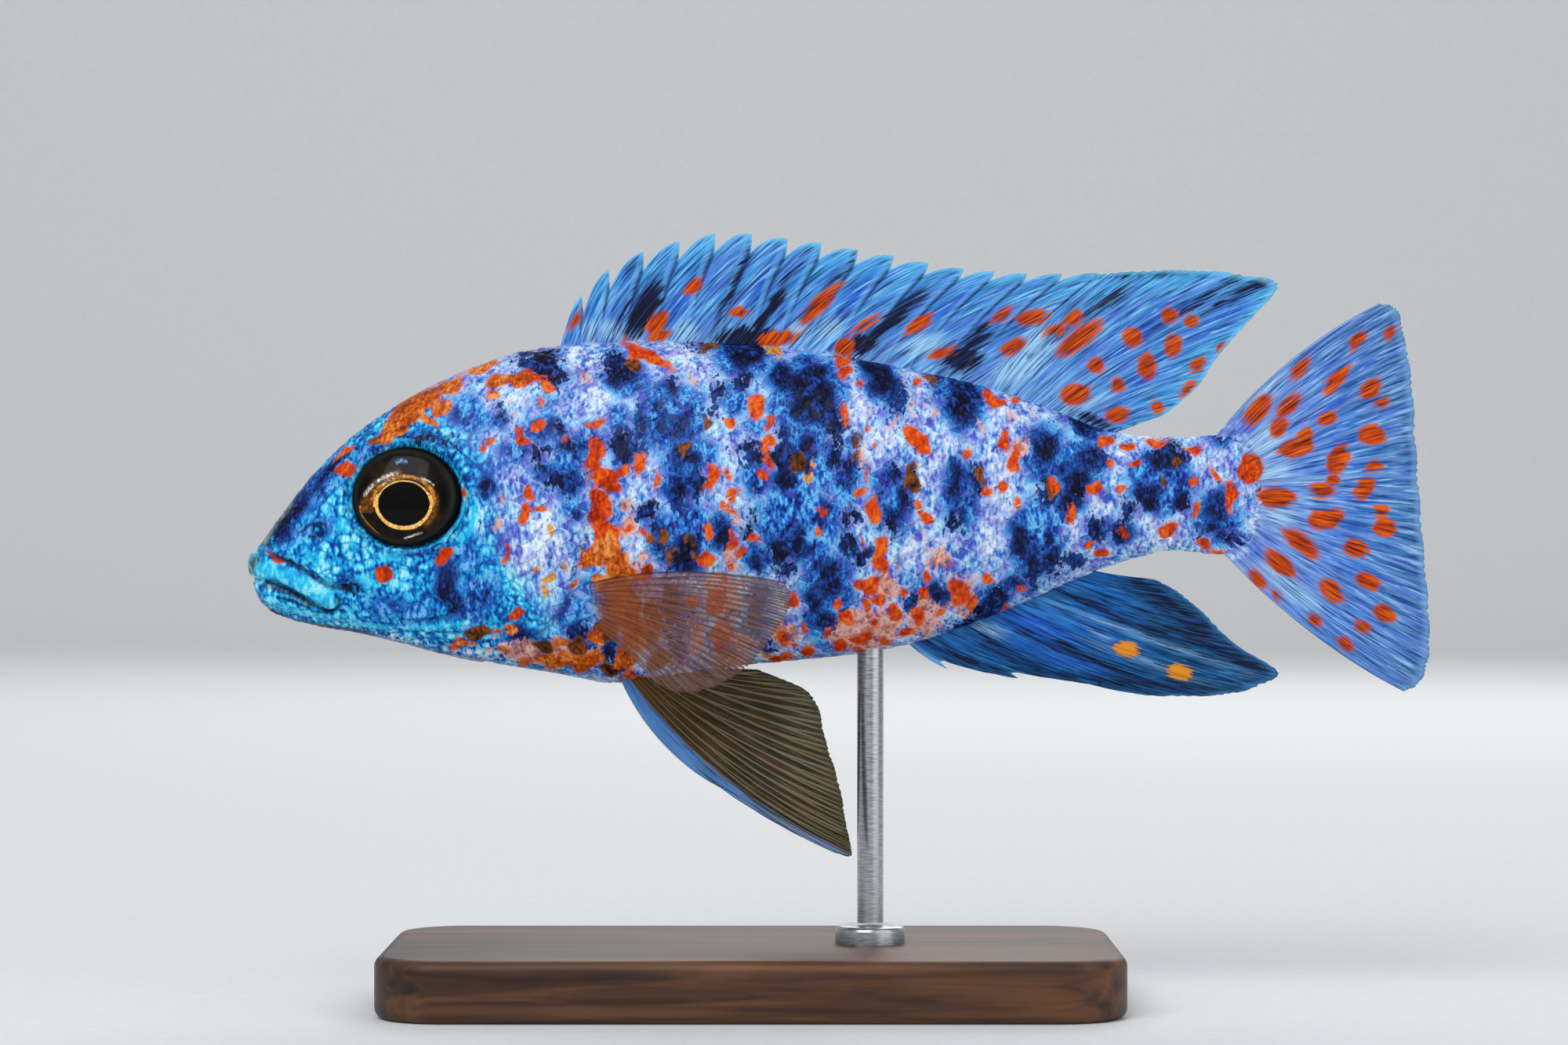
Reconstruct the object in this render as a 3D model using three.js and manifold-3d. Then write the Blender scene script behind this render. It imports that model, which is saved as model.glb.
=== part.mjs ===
// A male peacock cichlid of the orange-blotched strain, at life size and in a level swimming pose,
// held on a plain display stand: a flat base with one short rod up to the belly.
//
// Millimetres, +Z up. The fish faces -X and its left side faces -Y.
// The origin is the centre of the stand's underside.
// The fish itself is drawn in fish measures, (fore, side, up): fore runs back from the tip of the
// upper lip, side is positive to the fish's right, and up is the height above the tip of the pelvic
// fins, the lowest point of the fish.
import * as THREE from "three";
import { mergeVertices } from "three/addons/utils/BufferGeometryUtils.js";
import Module from "manifold-3d";

const wasm = await Module();
wasm.setup();

// Where the fish is held over the stand
const NOSE_TO_STAND = 58;
const LOWEST_FIN_HEIGHT = 17.5;

// Cuts between neighbouring pieces
const GAP = 0.3;

// The tail end of the fish swings to its right as it swims
const SWAY_START = 60;
const SWAY_LENGTH = 76;
const SWAY = 3.2;

// Side view of the body without fins: [fore, up]
const BACK = [
  [0, 33], [0.12, 33.7], [0.6, 34.6], [1.6, 35.7], [2.8, 37.4], [5, 40.4], [7.7, 43.7], [12.2, 48],
  [16.7, 51.2], [21.2, 53.7], [25.7, 55.7], [30.2, 57.2], [35.2, 58.2], [44, 58.7], [56, 58.5],
  [66, 57.4], [75, 55.8], [84.7, 53.6], [93, 50.8], [98, 48.8], [102, 48], [107, 47.7], [112, 48.1],
  [115, 47.2], [117, 45], [118, 41],
];
const BELLY = [
  [0, 33], [0.12, 32.2], [0.4, 31], [0.8, 29.6], [1.5, 28.3], [2.8, 27.1], [7.7, 25.6], [12.2, 24.8],
  [16.7, 23.8], [21.2, 22.6], [25.7, 21.6], [29.3, 21.1], [34.7, 20.2], [42.4, 19], [48.2, 19.5],
  [56.8, 21.1], [67, 22], [75.2, 23.3], [84.2, 26.2], [93.2, 30], [99.5, 32.6], [106.7, 34.2],
  [112, 33.7], [115, 35], [117, 37.6], [118, 41],
];

// Height of the widest part of each cross-section: [fore, up]
const FLANK = [[0, 33], [8, 35.2], [18, 38], [35, 39.5], [60, 40], [90, 41.4], [118, 41]];

// Half of the body's width: [fore, half-width]
const HALF_WIDTH = [
  [0, 0], [0.12, 0.85], [0.6, 1.9], [1.6, 3], [4, 4.2], [8, 5.4], [12, 6.3], [18, 7.4], [25, 8.4],
  [33, 9.2], [41, 9.5], [50, 9.3], [60, 8.7], [70, 7.8], [80, 6.6], [90, 5.2], [98, 4.1], [106, 3],
  [112, 1.9], [116, 1], [118, 0],
];

// How narrow the back and the belly are drawn in, from 1 for an ellipse: [fore, power]
const BACK_POWER = [[0, 0.9], [20, 0.92], [40, 1.15], [90, 1.2], [118, 1]];
const BELLY_POWER = [[0, 0.8], [30, 0.8], [60, 0.88], [90, 1.1], [118, 1]];

// Body mesh: rings are closer together at the snout and towards the end of the tail stalk
const BODY_LENGTH = 118;
const RINGS = 32;
const RING_SIDES = 24;
const NOSE_CROWDING = 1.8;

// Eyes: bulging discs in oval openings that look a little forward and up. The profile is
// [share of the opening's radius, height above the eye's centre], from the back to the front.
const EYE = { fore: 18.4, side: 4.7, up: 40.5 };
const EYE_OPENING = { fore: 6.15, up: 5.6 };
const EYE_PROFILE = [
  [0, -2.6], [0.7, -2], [1, -0.4], [1, 1.7], [0.84, 2.45], [0.6, 3.05], [0.3, 3.45], [0, 3.6],
];
const EYE_FORWARD = THREE.MathUtils.degToRad(9);
const EYE_UPWARD = THREE.MathUtils.degToRad(5);
const EYE_SIDES = 18;

// Lines that part the head, [fore, up]
const MOUTH_LINE = [[-3, 32.4], [0.7, 31.1], [2.8, 30.3], [5.5, 29.1], [8.2, 27.7], [12, 26.8]];
const LIP_FOLD = [
  [-3, 38], [2.2, 34.9], [4.1, 34], [6.4, 32.7], [8.6, 30.9], [10.6, 29.1], [11.7, 28], [12, 26.8],
];
const JAW_REAR = [[12, 26.8], [15.5, 25.9], [15.8, 20]];
const THROAT_LINE = [[15.5, 25.9], [22, 25.4], [28, 24.6], [33.6, 25.1]];
const GILL_LINE = [
  [32, 62], [33, 57.7], [35, 52.4], [36.7, 47.3], [38.8, 43.7], [39.4, 40.1], [38.8, 36.5],
  [37.8, 33.6], [37.3, 31.1], [36.7, 28.8], [35.2, 26.6], [32.9, 24.6], [29.3, 22.5], [26.6, 21],
  [24, 18],
];
const COVER_EDGE = [
  [37.5, 46.6], [31, 47.8], [26.5, 45.8], [25.2, 42], [25.6, 36], [24.6, 30.5], [25.8, 27.4],
  [30, 26.6], [36, 26.9],
];
const COVER_REAR = 42;
const COVER_THICKNESS = 1.6;
const STALK_CUT = [[97.8, 65], [97.6, 20]];
const CUT_REACH = 14;

// Fins. root and margin are [fore, side, up]; bow is how far the middle of the first and of the
// last ray stands off the straight line from root to tip, as a share of its length.
const RAY_THICKNESS = 1.1;
const RAY_TIP_THICKNESS = 0.6;
const MEMBRANE_THICKNESS = 0.5;
const FIN_STEPS = 3;
const RAY_OVERHANG = 0.35;
const PAIRED_RAY_OVERHANG = 0.2;

const SPINY_DORSAL = {
  lobes: 16,
  root: [[36, 0, 56.6], [44, 0, 57.2], [56, 0, 57], [66, 0, 56], [75, 0, 54.2], [83.6, 0, 52]],
  margin: [
    [36.2, 0, 60.6], [38.8, 0, 64.3], [42, 0, 67], [46.1, 0, 69], [50.2, 0, 70.1], [54.3, 0, 70.9],
    [58.5, 0, 70.8], [62.6, 0, 70.2], [66.5, 0, 69.7], [70.7, 0, 68.9], [74.8, 0, 68.2],
    [78.8, 0, 67.4], [82.8, 0, 66.8], [86.3, 0, 66.5], [90.1, 0, 66.3], [94.1, 0, 66.3],
    [97.7, 0, 66.4],
  ],
  bow: [0.05, 0.05],
  notchFront: 2.4,
  notchRear: 0.7,
};
const SOFT_DORSAL = {
  rays: 11,
  root: [[84.2, 0, 51.8], [88.7, 0, 50.4], [93.2, 0, 48.6], [97.9, 0, 46.8]],
  margin: [
    [98.2, 0, 66.4], [102, 0, 66.6], [106, 0, 66.8], [110.5, 0, 66.7], [115, 0, 66.2],
    [118.7, 0, 65.2], [115.9, 0, 61.6], [112.2, 0, 57.5], [109.3, 0, 53.4], [105.5, 0, 50.2],
    [100.9, 0, 48.8],
  ],
  bow: [0.05, 0.04],
};
const TAIL_FIN = {
  rays: 17,
  root: [[110.8, 0, 46.8], [112.6, 0, 44], [113, 0, 41], [112.8, 0, 38], [111.6, 0, 35]],
  margin: [
    [130.4, 0, 63], [132.4, 0, 62.5], [133.4, 0, 59], [134.2, 0, 54.5], [134.7, 0, 47.3],
    [135.2, 0, 40.1], [135.8, 0, 32.9], [136.3, 0, 26.6], [136.2, 0, 22.1], [135.2, 0, 19.2],
    [133.4, 0, 18.1],
  ],
  bow: [0.06, -0.045],
};
const ANAL_FIN = {
  rays: 12,
  spines: 3,
  root: [
    [75.4, 0, 24.4], [79.7, 0, 25.7], [84.2, 0, 27.4], [88.7, 0, 29.2], [93.2, 0, 31.2], [96.4, 0, 32.4],
  ],
  margin: [
    [80.4, 0, 20.9], [88.6, 0, 19.8], [98.8, 0, 18.9], [103, 0, 17.9], [108, 0, 17.7],
    [112.6, 0, 17.9], [116, 0, 18.7], [118.7, 0, 20.3], [113.8, 0, 23.6], [110.2, 0, 27.1],
    [107.4, 0, 29.5], [104.6, 0, 31.1],
  ],
  bow: [-0.05, -0.02],
  notch: 2.2,
};
const PECTORAL_FIN = {
  rays: 14,
  steps: 2,
  root: [[39.4, -8.4, 30.8], [39.9, -7.9, 28.6], [40.8, -7, 25.8]],
  margin: [
    [62, -12.6, 31], [62.6, -13.2, 29.1], [61.8, -13.6, 27], [60.4, -13.8, 24.9],
    [58.6, -13.6, 22.5], [56.3, -13.2, 20.5], [53.2, -12.6, 19], [50, -12, 18.6], [47.3, -11.2, 19.6],
  ],
  bow: [0.06, 0.02],
};
const PELVIC_FIN = {
  rays: 7,
  root: [[42.8, -2.7, 20.4], [45.2, -2.3, 20.6], [48.4, -1.8, 21]],
  margin: [
    [53.2, -5.4, 8.3], [69.3, -7.5, 0], [68.9, -7.2, 2.6], [68.2, -6.5, 7], [66.6, -5.6, 12.4],
    [65, -4.6, 17.6], [58.8, -3.4, 20.7],
  ],
  bow: [-0.08, 0],
};

// Stand
const BASE_LENGTH = 84;
const BASE_WIDTH = 44;
const BASE_THICKNESS = 7;
const BASE_CORNER = 8;
const BASE_BEVEL = 1.2;
const ROD_RADIUS = 1.5;
const ROD_FORE = 71.6;
const ROD_TOP_UP = 25;
const COLLAR_RADIUS = 4;
const COLLAR_HEIGHT = 2;
const ROUND_SIDES = 20;

// Colours from the photograph
const COLOURS = {
  head: 0x2f9fe0,
  lip: 0x35b4e4,
  cover: 0x7fb4e8,
  throat: 0x4f7fc0,
  body: 0xa9b9ee,
  stalk: 0x86b6ee,
  fin: 0x3d86e0,
  tail: 0x6ca6ee,
  clearFin: 0xa0583a,
  pelvic: 0x5b5436,
  eye: 0x14100c,
  wood: 0x3b2418,
  steel: 0xb9bcc0,
};

const lerp = THREE.MathUtils.lerp;
const clamp = THREE.MathUtils.clamp;

// A smooth line through [position, value] pairs that never overshoots them.
function smoothLine(knots) {
  const slopes = knots.slice(1).map(([x, v], i) => (v - knots[i][1]) / (x - knots[i][0]));
  const tangents = knots.map((_, i) => {
    const before = slopes[Math.max(i - 1, 0)];
    const after = slopes[Math.min(i, slopes.length - 1)];
    return before * after <= 0 ? 0 : (2 * before * after) / (before + after);
  });
  return (x) => {
    let i = knots.findIndex(([at]) => at >= x) - 1;
    if (i === -2) i = knots.length - 2;
    i = clamp(i, 0, knots.length - 2);
    const width = knots[i + 1][0] - knots[i][0];
    const t = clamp((x - knots[i][0]) / width, 0, 1);
    const rest = 1 - t;
    return (
      knots[i][1] * (1 + 2 * t) * rest * rest +
      knots[i + 1][1] * (3 - 2 * t) * t * t +
      tangents[i] * width * t * rest * rest -
      tangents[i + 1] * width * t * t * rest
    );
  };
}

const back = smoothLine(BACK);
const belly = smoothLine(BELLY);
const flank = smoothLine(FLANK);
const halfWidth = smoothLine(HALF_WIDTH);
const backPower = smoothLine(BACK_POWER);
const bellyPower = smoothLine(BELLY_POWER);

// The point of the body's skin at a turn from the back (0) down the right side to the belly (half a
// turn), pushed out by grow.
function skinPoint(fore, turn, grow) {
  const down = Math.cos(turn);
  const out = Math.sin(turn);
  const middle = flank(fore);
  const reach = down > 0 ? back(fore) + grow - middle : middle - belly(fore) + grow;
  const power = down > 0 ? backPower(fore) : bellyPower(fore);
  const width = Math.max(halfWidth(fore) + grow, 0);
  return new THREE.Vector3(
    fore,
    width * Math.sign(out) * Math.abs(out) ** power,
    middle + Math.max(reach, 0) * down,
  );
}

// A closed geometry from rings of points, each end closed by a single point.
function geometryFromRings(first, rings, last) {
  const sides = rings[0].length;
  const points = [first, ...rings.flat(), last];
  const ringVertex = (ring, side) => 1 + ring * sides + (side % sides);
  const faces = [];
  for (let side = 0; side < sides; side += 1) {
    faces.push(0, ringVertex(0, side), ringVertex(0, side + 1));
    for (let ring = 0; ring < rings.length - 1; ring += 1) {
      const [a, b] = [ringVertex(ring, side), ringVertex(ring, side + 1)];
      const [c, d] = [ringVertex(ring + 1, side), ringVertex(ring + 1, side + 1)];
      faces.push(a, c, b, b, c, d);
    }
    const end = rings.length - 1;
    faces.push(points.length - 1, ringVertex(end, side + 1), ringVertex(end, side));
  }
  return indexedGeometry(points, faces);
}

function indexedGeometry(points, faces) {
  const geometry = new THREE.BufferGeometry().setFromPoints(points);
  geometry.setIndex(faces);
  return geometry;
}

function bodyGeometry(grow) {
  const rings = [];
  for (let ring = 1; ring < RINGS; ring += 1) {
    const fore = BODY_LENGTH * (ring / RINGS) ** NOSE_CROWDING;
    const points = [];
    for (let side = 0; side < RING_SIDES; side += 1) {
      points.push(skinPoint(fore, (side / RING_SIDES) * 2 * Math.PI, grow));
    }
    rings.push(points);
  }
  const tip = new THREE.Vector3(-grow, 0, flank(0));
  const end = new THREE.Vector3(BODY_LENGTH + grow, 0, flank(BODY_LENGTH));
  return geometryFromRings(tip, rings, end);
}

// Solids, joined and cut
function solidFrom(geometry) {
  const bare = geometry.clone();
  bare.deleteAttribute("normal");
  bare.deleteAttribute("uv");
  const merged = mergeVertices(bare);
  const solid = new wasm.Manifold(
    new wasm.Mesh({
      numProp: 3,
      vertProperties: merged.attributes.position.array,
      triVerts: new Uint32Array(merged.index.array),
    }),
  );
  if (solid.volume() > 0) return solid;
  const turned = Uint32Array.from(merged.index.array);
  for (let i = 0; i < turned.length; i += 3) {
    [turned[i], turned[i + 1]] = [turned[i + 1], turned[i]];
  }
  merged.setIndex(new THREE.BufferAttribute(turned, 1));
  return solidFrom(merged);
}

function geometryFrom(solid) {
  const mesh = solid.getMesh();
  const geometry = new THREE.BufferGeometry();
  geometry.setAttribute("position", new THREE.BufferAttribute(mesh.vertProperties, 3));
  geometry.setIndex(new THREE.BufferAttribute(mesh.triVerts, 1));
  return geometry;
}

function largestPiece(solid) {
  return solid.decompose().sort((a, b) => b.volume() - a.volume())[0];
}

// A smooth line in side view, as points with the direction across it.
function sideLine(line) {
  const curve = new THREE.SplineCurve(line.map(([fore, up]) => new THREE.Vector2(fore, up)));
  const steps = (line.length - 1) * 2;
  return Array.from({ length: steps + 1 }, (_, i) => {
    const along = curve.getTangent(i / steps);
    return { point: curve.getPoint(i / steps), across: new THREE.Vector2(-along.y, along.x) };
  });
}

// A wall across the whole body that follows a line drawn in side view.
function cuttingWall(line) {
  const edge = (offset) =>
    sideLine(line).map(({ point, across }) => point.addScaledVector(across, offset));
  return extrudedSideways(new THREE.Shape([...edge(GAP / 2), ...edge(-GAP / 2).reverse()]));
}

// A side-view shape, extruded across the fish.
function extrudedSideways(shape) {
  const geometry = new THREE.ExtrudeGeometry(shape, { depth: 2 * CUT_REACH, bevelEnabled: false });
  geometry.rotateX(Math.PI / 2);
  geometry.translate(0, CUT_REACH, 0);
  return solidFrom(geometry);
}

// The body is modelled whole and parted with thin cuts.
const body = solidFrom(bodyGeometry(0));
const grownBody = solidFrom(bodyGeometry(GAP));

// A turned shape, at its place in the head and facing out. Its heights are along its own axis.
function turnedEye(profile, side, grow) {
  const points = profile.map(([share, height]) => new THREE.Vector2(share, height));
  const geometry = new THREE.LatheGeometry(points, EYE_SIDES);
  geometry.scale(EYE_OPENING.fore + grow, 1, EYE_OPENING.up + grow);
  geometry.rotateX(EYE_UPWARD);
  geometry.rotateZ(EYE_FORWARD);
  geometry.translate(EYE.fore, EYE.side, EYE.up);
  geometry.scale(1, side, 1);
  return solidFrom(geometry);
}

// The eye's back half with a gap round it, and an open bore from there out through the skin.
function socketSolid(side) {
  const back = EYE_PROFILE.slice(0, 3).map(([share, height]) => [share, height - GAP]);
  return turnedEye([...back, [1, CUT_REACH], [0, CUT_REACH]], side, GAP);
}

// The gill covers are plates let into the sides of the head.
function coverCuts() {
  const edge = sideLine(COVER_EDGE).map(({ point }) => point);
  const [top, bottom] = [edge.at(0).y, edge.at(-1).y];
  const rear = [new THREE.Vector2(COVER_REAR, bottom), new THREE.Vector2(COVER_REAR, top)];
  const field = extrudedSideways(new THREE.Shape([...edge, ...rear]));
  const bed = solidFrom(bodyGeometry(-COVER_THICKNESS - GAP));
  const behind = solidFrom(bodyGeometry(-COVER_THICKNESS)).intersect(field);
  return [cuttingWall(COVER_EDGE).subtract(bed), behind.subtract(bed)];
}

// Points inside the pieces, by which the cut body's pieces are told apart
const PROBE_RADIUS = 0.3;
const BLOCKS = {
  head: [22, 0, 52],
  upper_jaw: [4, 0, 31.5],
  lower_jaw: [8, 0, 26.5],
  throat: [24, 0, 23.5],
  trunk: [60, 0, 40],
  tail_stalk: [105, 0, 41],
};
const HEAD_PARTS = {
  head: BLOCKS.head,
  gill_cover_left: [32, -8.1, 38],
  gill_cover_right: [32, 8.1, 38],
};

function partedBy(cuts, whole, insides) {
  const parted = cuts.reduce((rest, cut) => rest.subtract(cut), whole);
  const pieces = parted.decompose();
  const named = Object.entries(insides).map(([name, at]) => {
    const probe = solidFrom(new THREE.SphereGeometry(PROBE_RADIUS, 8, 6).translate(...at));
    const found = pieces.find((piece) => piece.intersect(probe).volume() > 0);
    if (!found) throw new Error("no piece of the body lies at " + name);
    return [name, found];
  });
  return Object.fromEntries(named);
}

function bodyPieces() {
  const lines = [MOUTH_LINE, LIP_FOLD, JAW_REAR, THROAT_LINE, GILL_LINE, STALK_CUT];
  const blocks = partedBy(lines.map(cuttingWall), body, BLOCKS);
  const headCuts = [...coverCuts(), socketSolid(-1), socketSolid(1)];
  return { ...blocks, ...partedBy(headCuts, blocks.head, HEAD_PARTS) };
}

// A thin closed solid over a grid of points, thickness(i, j) thick.
function sheetSolid(grid, thickness) {
  const [lines, steps] = [grid.length, grid[0].length];
  const [near, far] = [[], []];
  for (let i = 0; i < lines; i += 1) {
    for (let j = 0; j < steps; j += 1) {
      const acrossRays = grid[Math.min(i + 1, lines - 1)][j].clone().sub(grid[Math.max(i - 1, 0)][j]);
      const alongRay = grid[i][Math.min(j + 1, steps - 1)].clone().sub(grid[i][Math.max(j - 1, 0)]);
      const normal = acrossRays.cross(alongRay).normalize().multiplyScalar(thickness(i, j) / 2);
      near.push(grid[i][j].clone().add(normal));
      far.push(grid[i][j].clone().sub(normal));
    }
  }
  const faces = [];
  const quad = (a, b, c, d) => faces.push(a, b, c, a, c, d);
  const at = (i, j) => i * steps + j;
  const back = lines * steps;
  for (let i = 0; i < lines - 1; i += 1) {
    for (let j = 0; j < steps - 1; j += 1) {
      quad(at(i, j), at(i + 1, j), at(i + 1, j + 1), at(i, j + 1));
      quad(back + at(i, j), back + at(i, j + 1), back + at(i + 1, j + 1), back + at(i + 1, j));
    }
    quad(at(i + 1, 0), at(i, 0), back + at(i, 0), back + at(i + 1, 0));
    quad(at(i, steps - 1), at(i + 1, steps - 1), back + at(i + 1, steps - 1), back + at(i, steps - 1));
  }
  for (let j = 0; j < steps - 1; j += 1) {
    quad(at(0, j), at(0, j + 1), back + at(0, j + 1), back + at(0, j));
    const i = lines - 1;
    quad(at(i, j + 1), at(i, j), back + at(i, j), back + at(i, j + 1));
  }
  return solidFrom(indexedGeometry([...near, ...far], faces));
}

function curveThrough(points) {
  return new THREE.CatmullRomCurve3(points.map((point) => new THREE.Vector3(...point)));
}

// Points along one ray, which bows off its straight line, upwards where bow is positive.
function rayPoints(root, tip, bow, steps) {
  const straight = tip.clone().sub(root);
  const across = new THREE.Vector3(-straight.z, 0, straight.x).multiplyScalar(4 * bow);
  return Array.from({ length: steps + 1 }, (_, j) => {
    const t = j / steps;
    return root.clone().lerp(tip, t).addScaledVector(across, t * (1 - t));
  });
}

// A fin whose lines run from root to margin. lines holds each line's place from 0 to 1 along the
// fin, how far it stops short of the margin, and whether it is a ray or membrane.
function finSolid(fin, lines) {
  const steps = fin.steps ?? FIN_STEPS;
  const root = curveThrough(fin.root);
  const margin = curveThrough(fin.margin);
  const grid = lines.map(({ place, short }) => {
    const from = root.getPoint(place);
    const tip = margin.getPoint(place);
    tip.lerp(from, short / from.distanceTo(tip));
    return rayPoints(from, tip, lerp(...fin.bow, place), steps);
  });
  const thickness = (i, j) =>
    lines[i].ray ? lerp(RAY_THICKNESS, RAY_TIP_THICKNESS, j / steps) : MEMBRANE_THICKNESS;
  return largestPiece(sheetSolid(grid, thickness).subtract(grownBody));
}

// Soft rays with membrane between them, which ends a little short of the ray tips.
function softLines(rays, short = RAY_OVERHANG) {
  const lines = [];
  for (let ray = 0; ray < rays; ray += 1) {
    lines.push({ place: ray / (rays - 1), short: 0, ray: true });
    if (ray < rays - 1) lines.push({ place: (ray + 0.5) / (rays - 1), short, ray: false });
  }
  return lines;
}

// Each spine carries a flap of membrane that rises in a curve to a tip and then drops to a notch.
const LOBE_PHASES = [0, 0.3, 0.88];
function lobeLines({ lobes, notchFront, notchRear }) {
  const lines = [];
  for (let lobe = 0; lobe < lobes; lobe += 1) {
    const notch = lerp(notchFront, notchRear, lobe / (lobes - 1));
    for (const phase of LOBE_PHASES) {
      const short = notch * (1 - phase) ** 2;
      lines.push({ place: (lobe + phase) / lobes, short, ray: phase === 0 });
    }
  }
  lines.push({ place: 1, short: notchRear, ray: true });
  return lines;
}

// The anal fin's first rays are spines. Their membrane is notched close behind each tip.
function analLines({ rays, spines, notch }) {
  return softLines(rays).flatMap((line, i) => {
    if (line.ray || i > 2 * spines - 2) return [line];
    const spine = (i - 1) / 2;
    const [near, far] = [(spine + 0.2) / (rays - 1), (spine + 0.6) / (rays - 1)];
    return [{ place: near, short: notch, ray: false }, { place: far, short: notch / 3, ray: false }];
  });
}

function mirroredSideways(solid) {
  const geometry = geometryFrom(solid);
  geometry.scale(1, -1, 1);
  return solidFrom(geometry);
}

// From fish measures to the part's frame, with the swing of the tail.
function placed(solid) {
  const geometry = geometryFrom(solid);
  const points = geometry.getAttribute("position");
  for (let i = 0; i < points.count; i += 1) {
    const behind = Math.max(points.getX(i) - SWAY_START, 0) / SWAY_LENGTH;
    points.setY(i, points.getY(i) + SWAY * behind * behind);
  }
  geometry.translate(-NOSE_TO_STAND, 0, LOWEST_FIN_HEIGHT);
  geometry.computeVertexNormals();
  return geometry;
}

// Stand
function baseGeometry() {
  const [x, y, r] = [BASE_LENGTH / 2 - BASE_BEVEL, BASE_WIDTH / 2 - BASE_BEVEL, BASE_CORNER];
  const outline = new THREE.Shape();
  outline.moveTo(-x + r, -y);
  outline.absarc(x - r, -y + r, r, -Math.PI / 2, 0);
  outline.absarc(x - r, y - r, r, 0, Math.PI / 2);
  outline.absarc(-x + r, y - r, r, Math.PI / 2, Math.PI);
  outline.absarc(-x + r, -y + r, r, Math.PI, 1.5 * Math.PI);
  const geometry = new THREE.ExtrudeGeometry(outline, {
    depth: BASE_THICKNESS - 2 * BASE_BEVEL,
    bevelSize: BASE_BEVEL,
    bevelThickness: BASE_BEVEL,
    bevelSegments: 1,
    curveSegments: 5,
  });
  return geometry.translate(0, 0, BASE_BEVEL);
}

function collarGeometry() {
  const rim = COLLAR_HEIGHT * 0.75;
  const lid = COLLAR_RADIUS - COLLAR_HEIGHT + rim;
  const side = [[COLLAR_RADIUS, 0], [COLLAR_RADIUS, rim], [lid, COLLAR_HEIGHT]];
  const points = [[0, 0], ...side, [0, COLLAR_HEIGHT]].map((point) => new THREE.Vector2(...point));
  return new THREE.LatheGeometry(points, ROUND_SIDES).rotateX(Math.PI / 2);
}

function rodGeometry() {
  const low = BASE_THICKNESS + COLLAR_HEIGHT + GAP;
  const high = LOWEST_FIN_HEIGHT + ROD_TOP_UP;
  const shaft = new THREE.CylinderGeometry(ROD_RADIUS, ROD_RADIUS, high - low, ROUND_SIDES);
  shaft.rotateX(Math.PI / 2);
  shaft.translate(ROD_FORE, 0, (low + high) / 2 - LOWEST_FIN_HEIGHT);
  const cut = solidFrom(shaft).subtract(grownBody);
  return geometryFrom(largestPiece(cut)).translate(-NOSE_TO_STAND, 0, LOWEST_FIN_HEIGHT);
}

// Assembly
const cichlid = new THREE.Group();

function addMesh(name, geometry, color, roughness = 0.45, metalness = 0) {
  const material = new THREE.MeshStandardMaterial({ color, roughness, metalness });
  const mesh = new THREE.Mesh(geometry, material);
  mesh.name = name;
  cichlid.add(mesh);
  return mesh;
}

const FLESH_COLOURS = {
  head: COLOURS.head,
  upper_jaw: COLOURS.lip,
  lower_jaw: COLOURS.lip,
  throat: COLOURS.throat,
  gill_cover_left: COLOURS.cover,
  gill_cover_right: COLOURS.cover,
  trunk: COLOURS.body,
  tail_stalk: COLOURS.stalk,
};
for (const [name, solid] of Object.entries(bodyPieces())) {
  addMesh(name, placed(solid), FLESH_COLOURS[name]);
}

addMesh("eye_left", placed(turnedEye(EYE_PROFILE, -1, 0)), COLOURS.eye, 0.1);
addMesh("eye_right", placed(turnedEye(EYE_PROFILE, 1, 0)), COLOURS.eye, 0.1);

addMesh("dorsal_fin_spiny", placed(finSolid(SPINY_DORSAL, lobeLines(SPINY_DORSAL))), COLOURS.fin);
addMesh("dorsal_fin_soft", placed(finSolid(SOFT_DORSAL, softLines(SOFT_DORSAL.rays))), COLOURS.fin);
addMesh("tail_fin", placed(finSolid(TAIL_FIN, softLines(TAIL_FIN.rays))), COLOURS.tail);
addMesh("anal_fin", placed(finSolid(ANAL_FIN, analLines(ANAL_FIN))), COLOURS.fin);

const pectoral = finSolid(PECTORAL_FIN, softLines(PECTORAL_FIN.rays, PAIRED_RAY_OVERHANG));
const pelvic = finSolid(PELVIC_FIN, softLines(PELVIC_FIN.rays, PAIRED_RAY_OVERHANG));
addMesh("pectoral_fin_left", placed(pectoral), COLOURS.clearFin);
addMesh("pectoral_fin_right", placed(mirroredSideways(pectoral)), COLOURS.clearFin);
addMesh("pelvic_fin_left", placed(pelvic), COLOURS.pelvic);
addMesh("pelvic_fin_right", placed(mirroredSideways(pelvic)), COLOURS.pelvic);

const stand = new THREE.Group();
stand.add(addMesh("stand_base", baseGeometry(), COLOURS.wood, 0.5));
const collar = addMesh("stand_collar", collarGeometry(), COLOURS.steel, 0.3, 1);
collar.position.set(ROD_FORE - NOSE_TO_STAND, 0, BASE_THICKNESS);
stand.add(collar);
stand.add(addMesh("stand_rod", rodGeometry(), COLOURS.steel, 0.3, 1));
cichlid.add(stand);

export default cichlid;
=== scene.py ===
# A male peacock cichlid of the orange-blotched strain, at life size, on a plain display stand.
#
# The fish is drawn in fish measures, in millimetres: fore runs back from the tip of the upper lip,
# side is positive to the fish's right, and up is the height above the tip of the pelvic fins.
# Places on the body are also given as (fore, turn), where turn goes round the body from the back (0)
# down the right side to the belly (pi) and up the left side.
import math
from functools import partial

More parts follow.
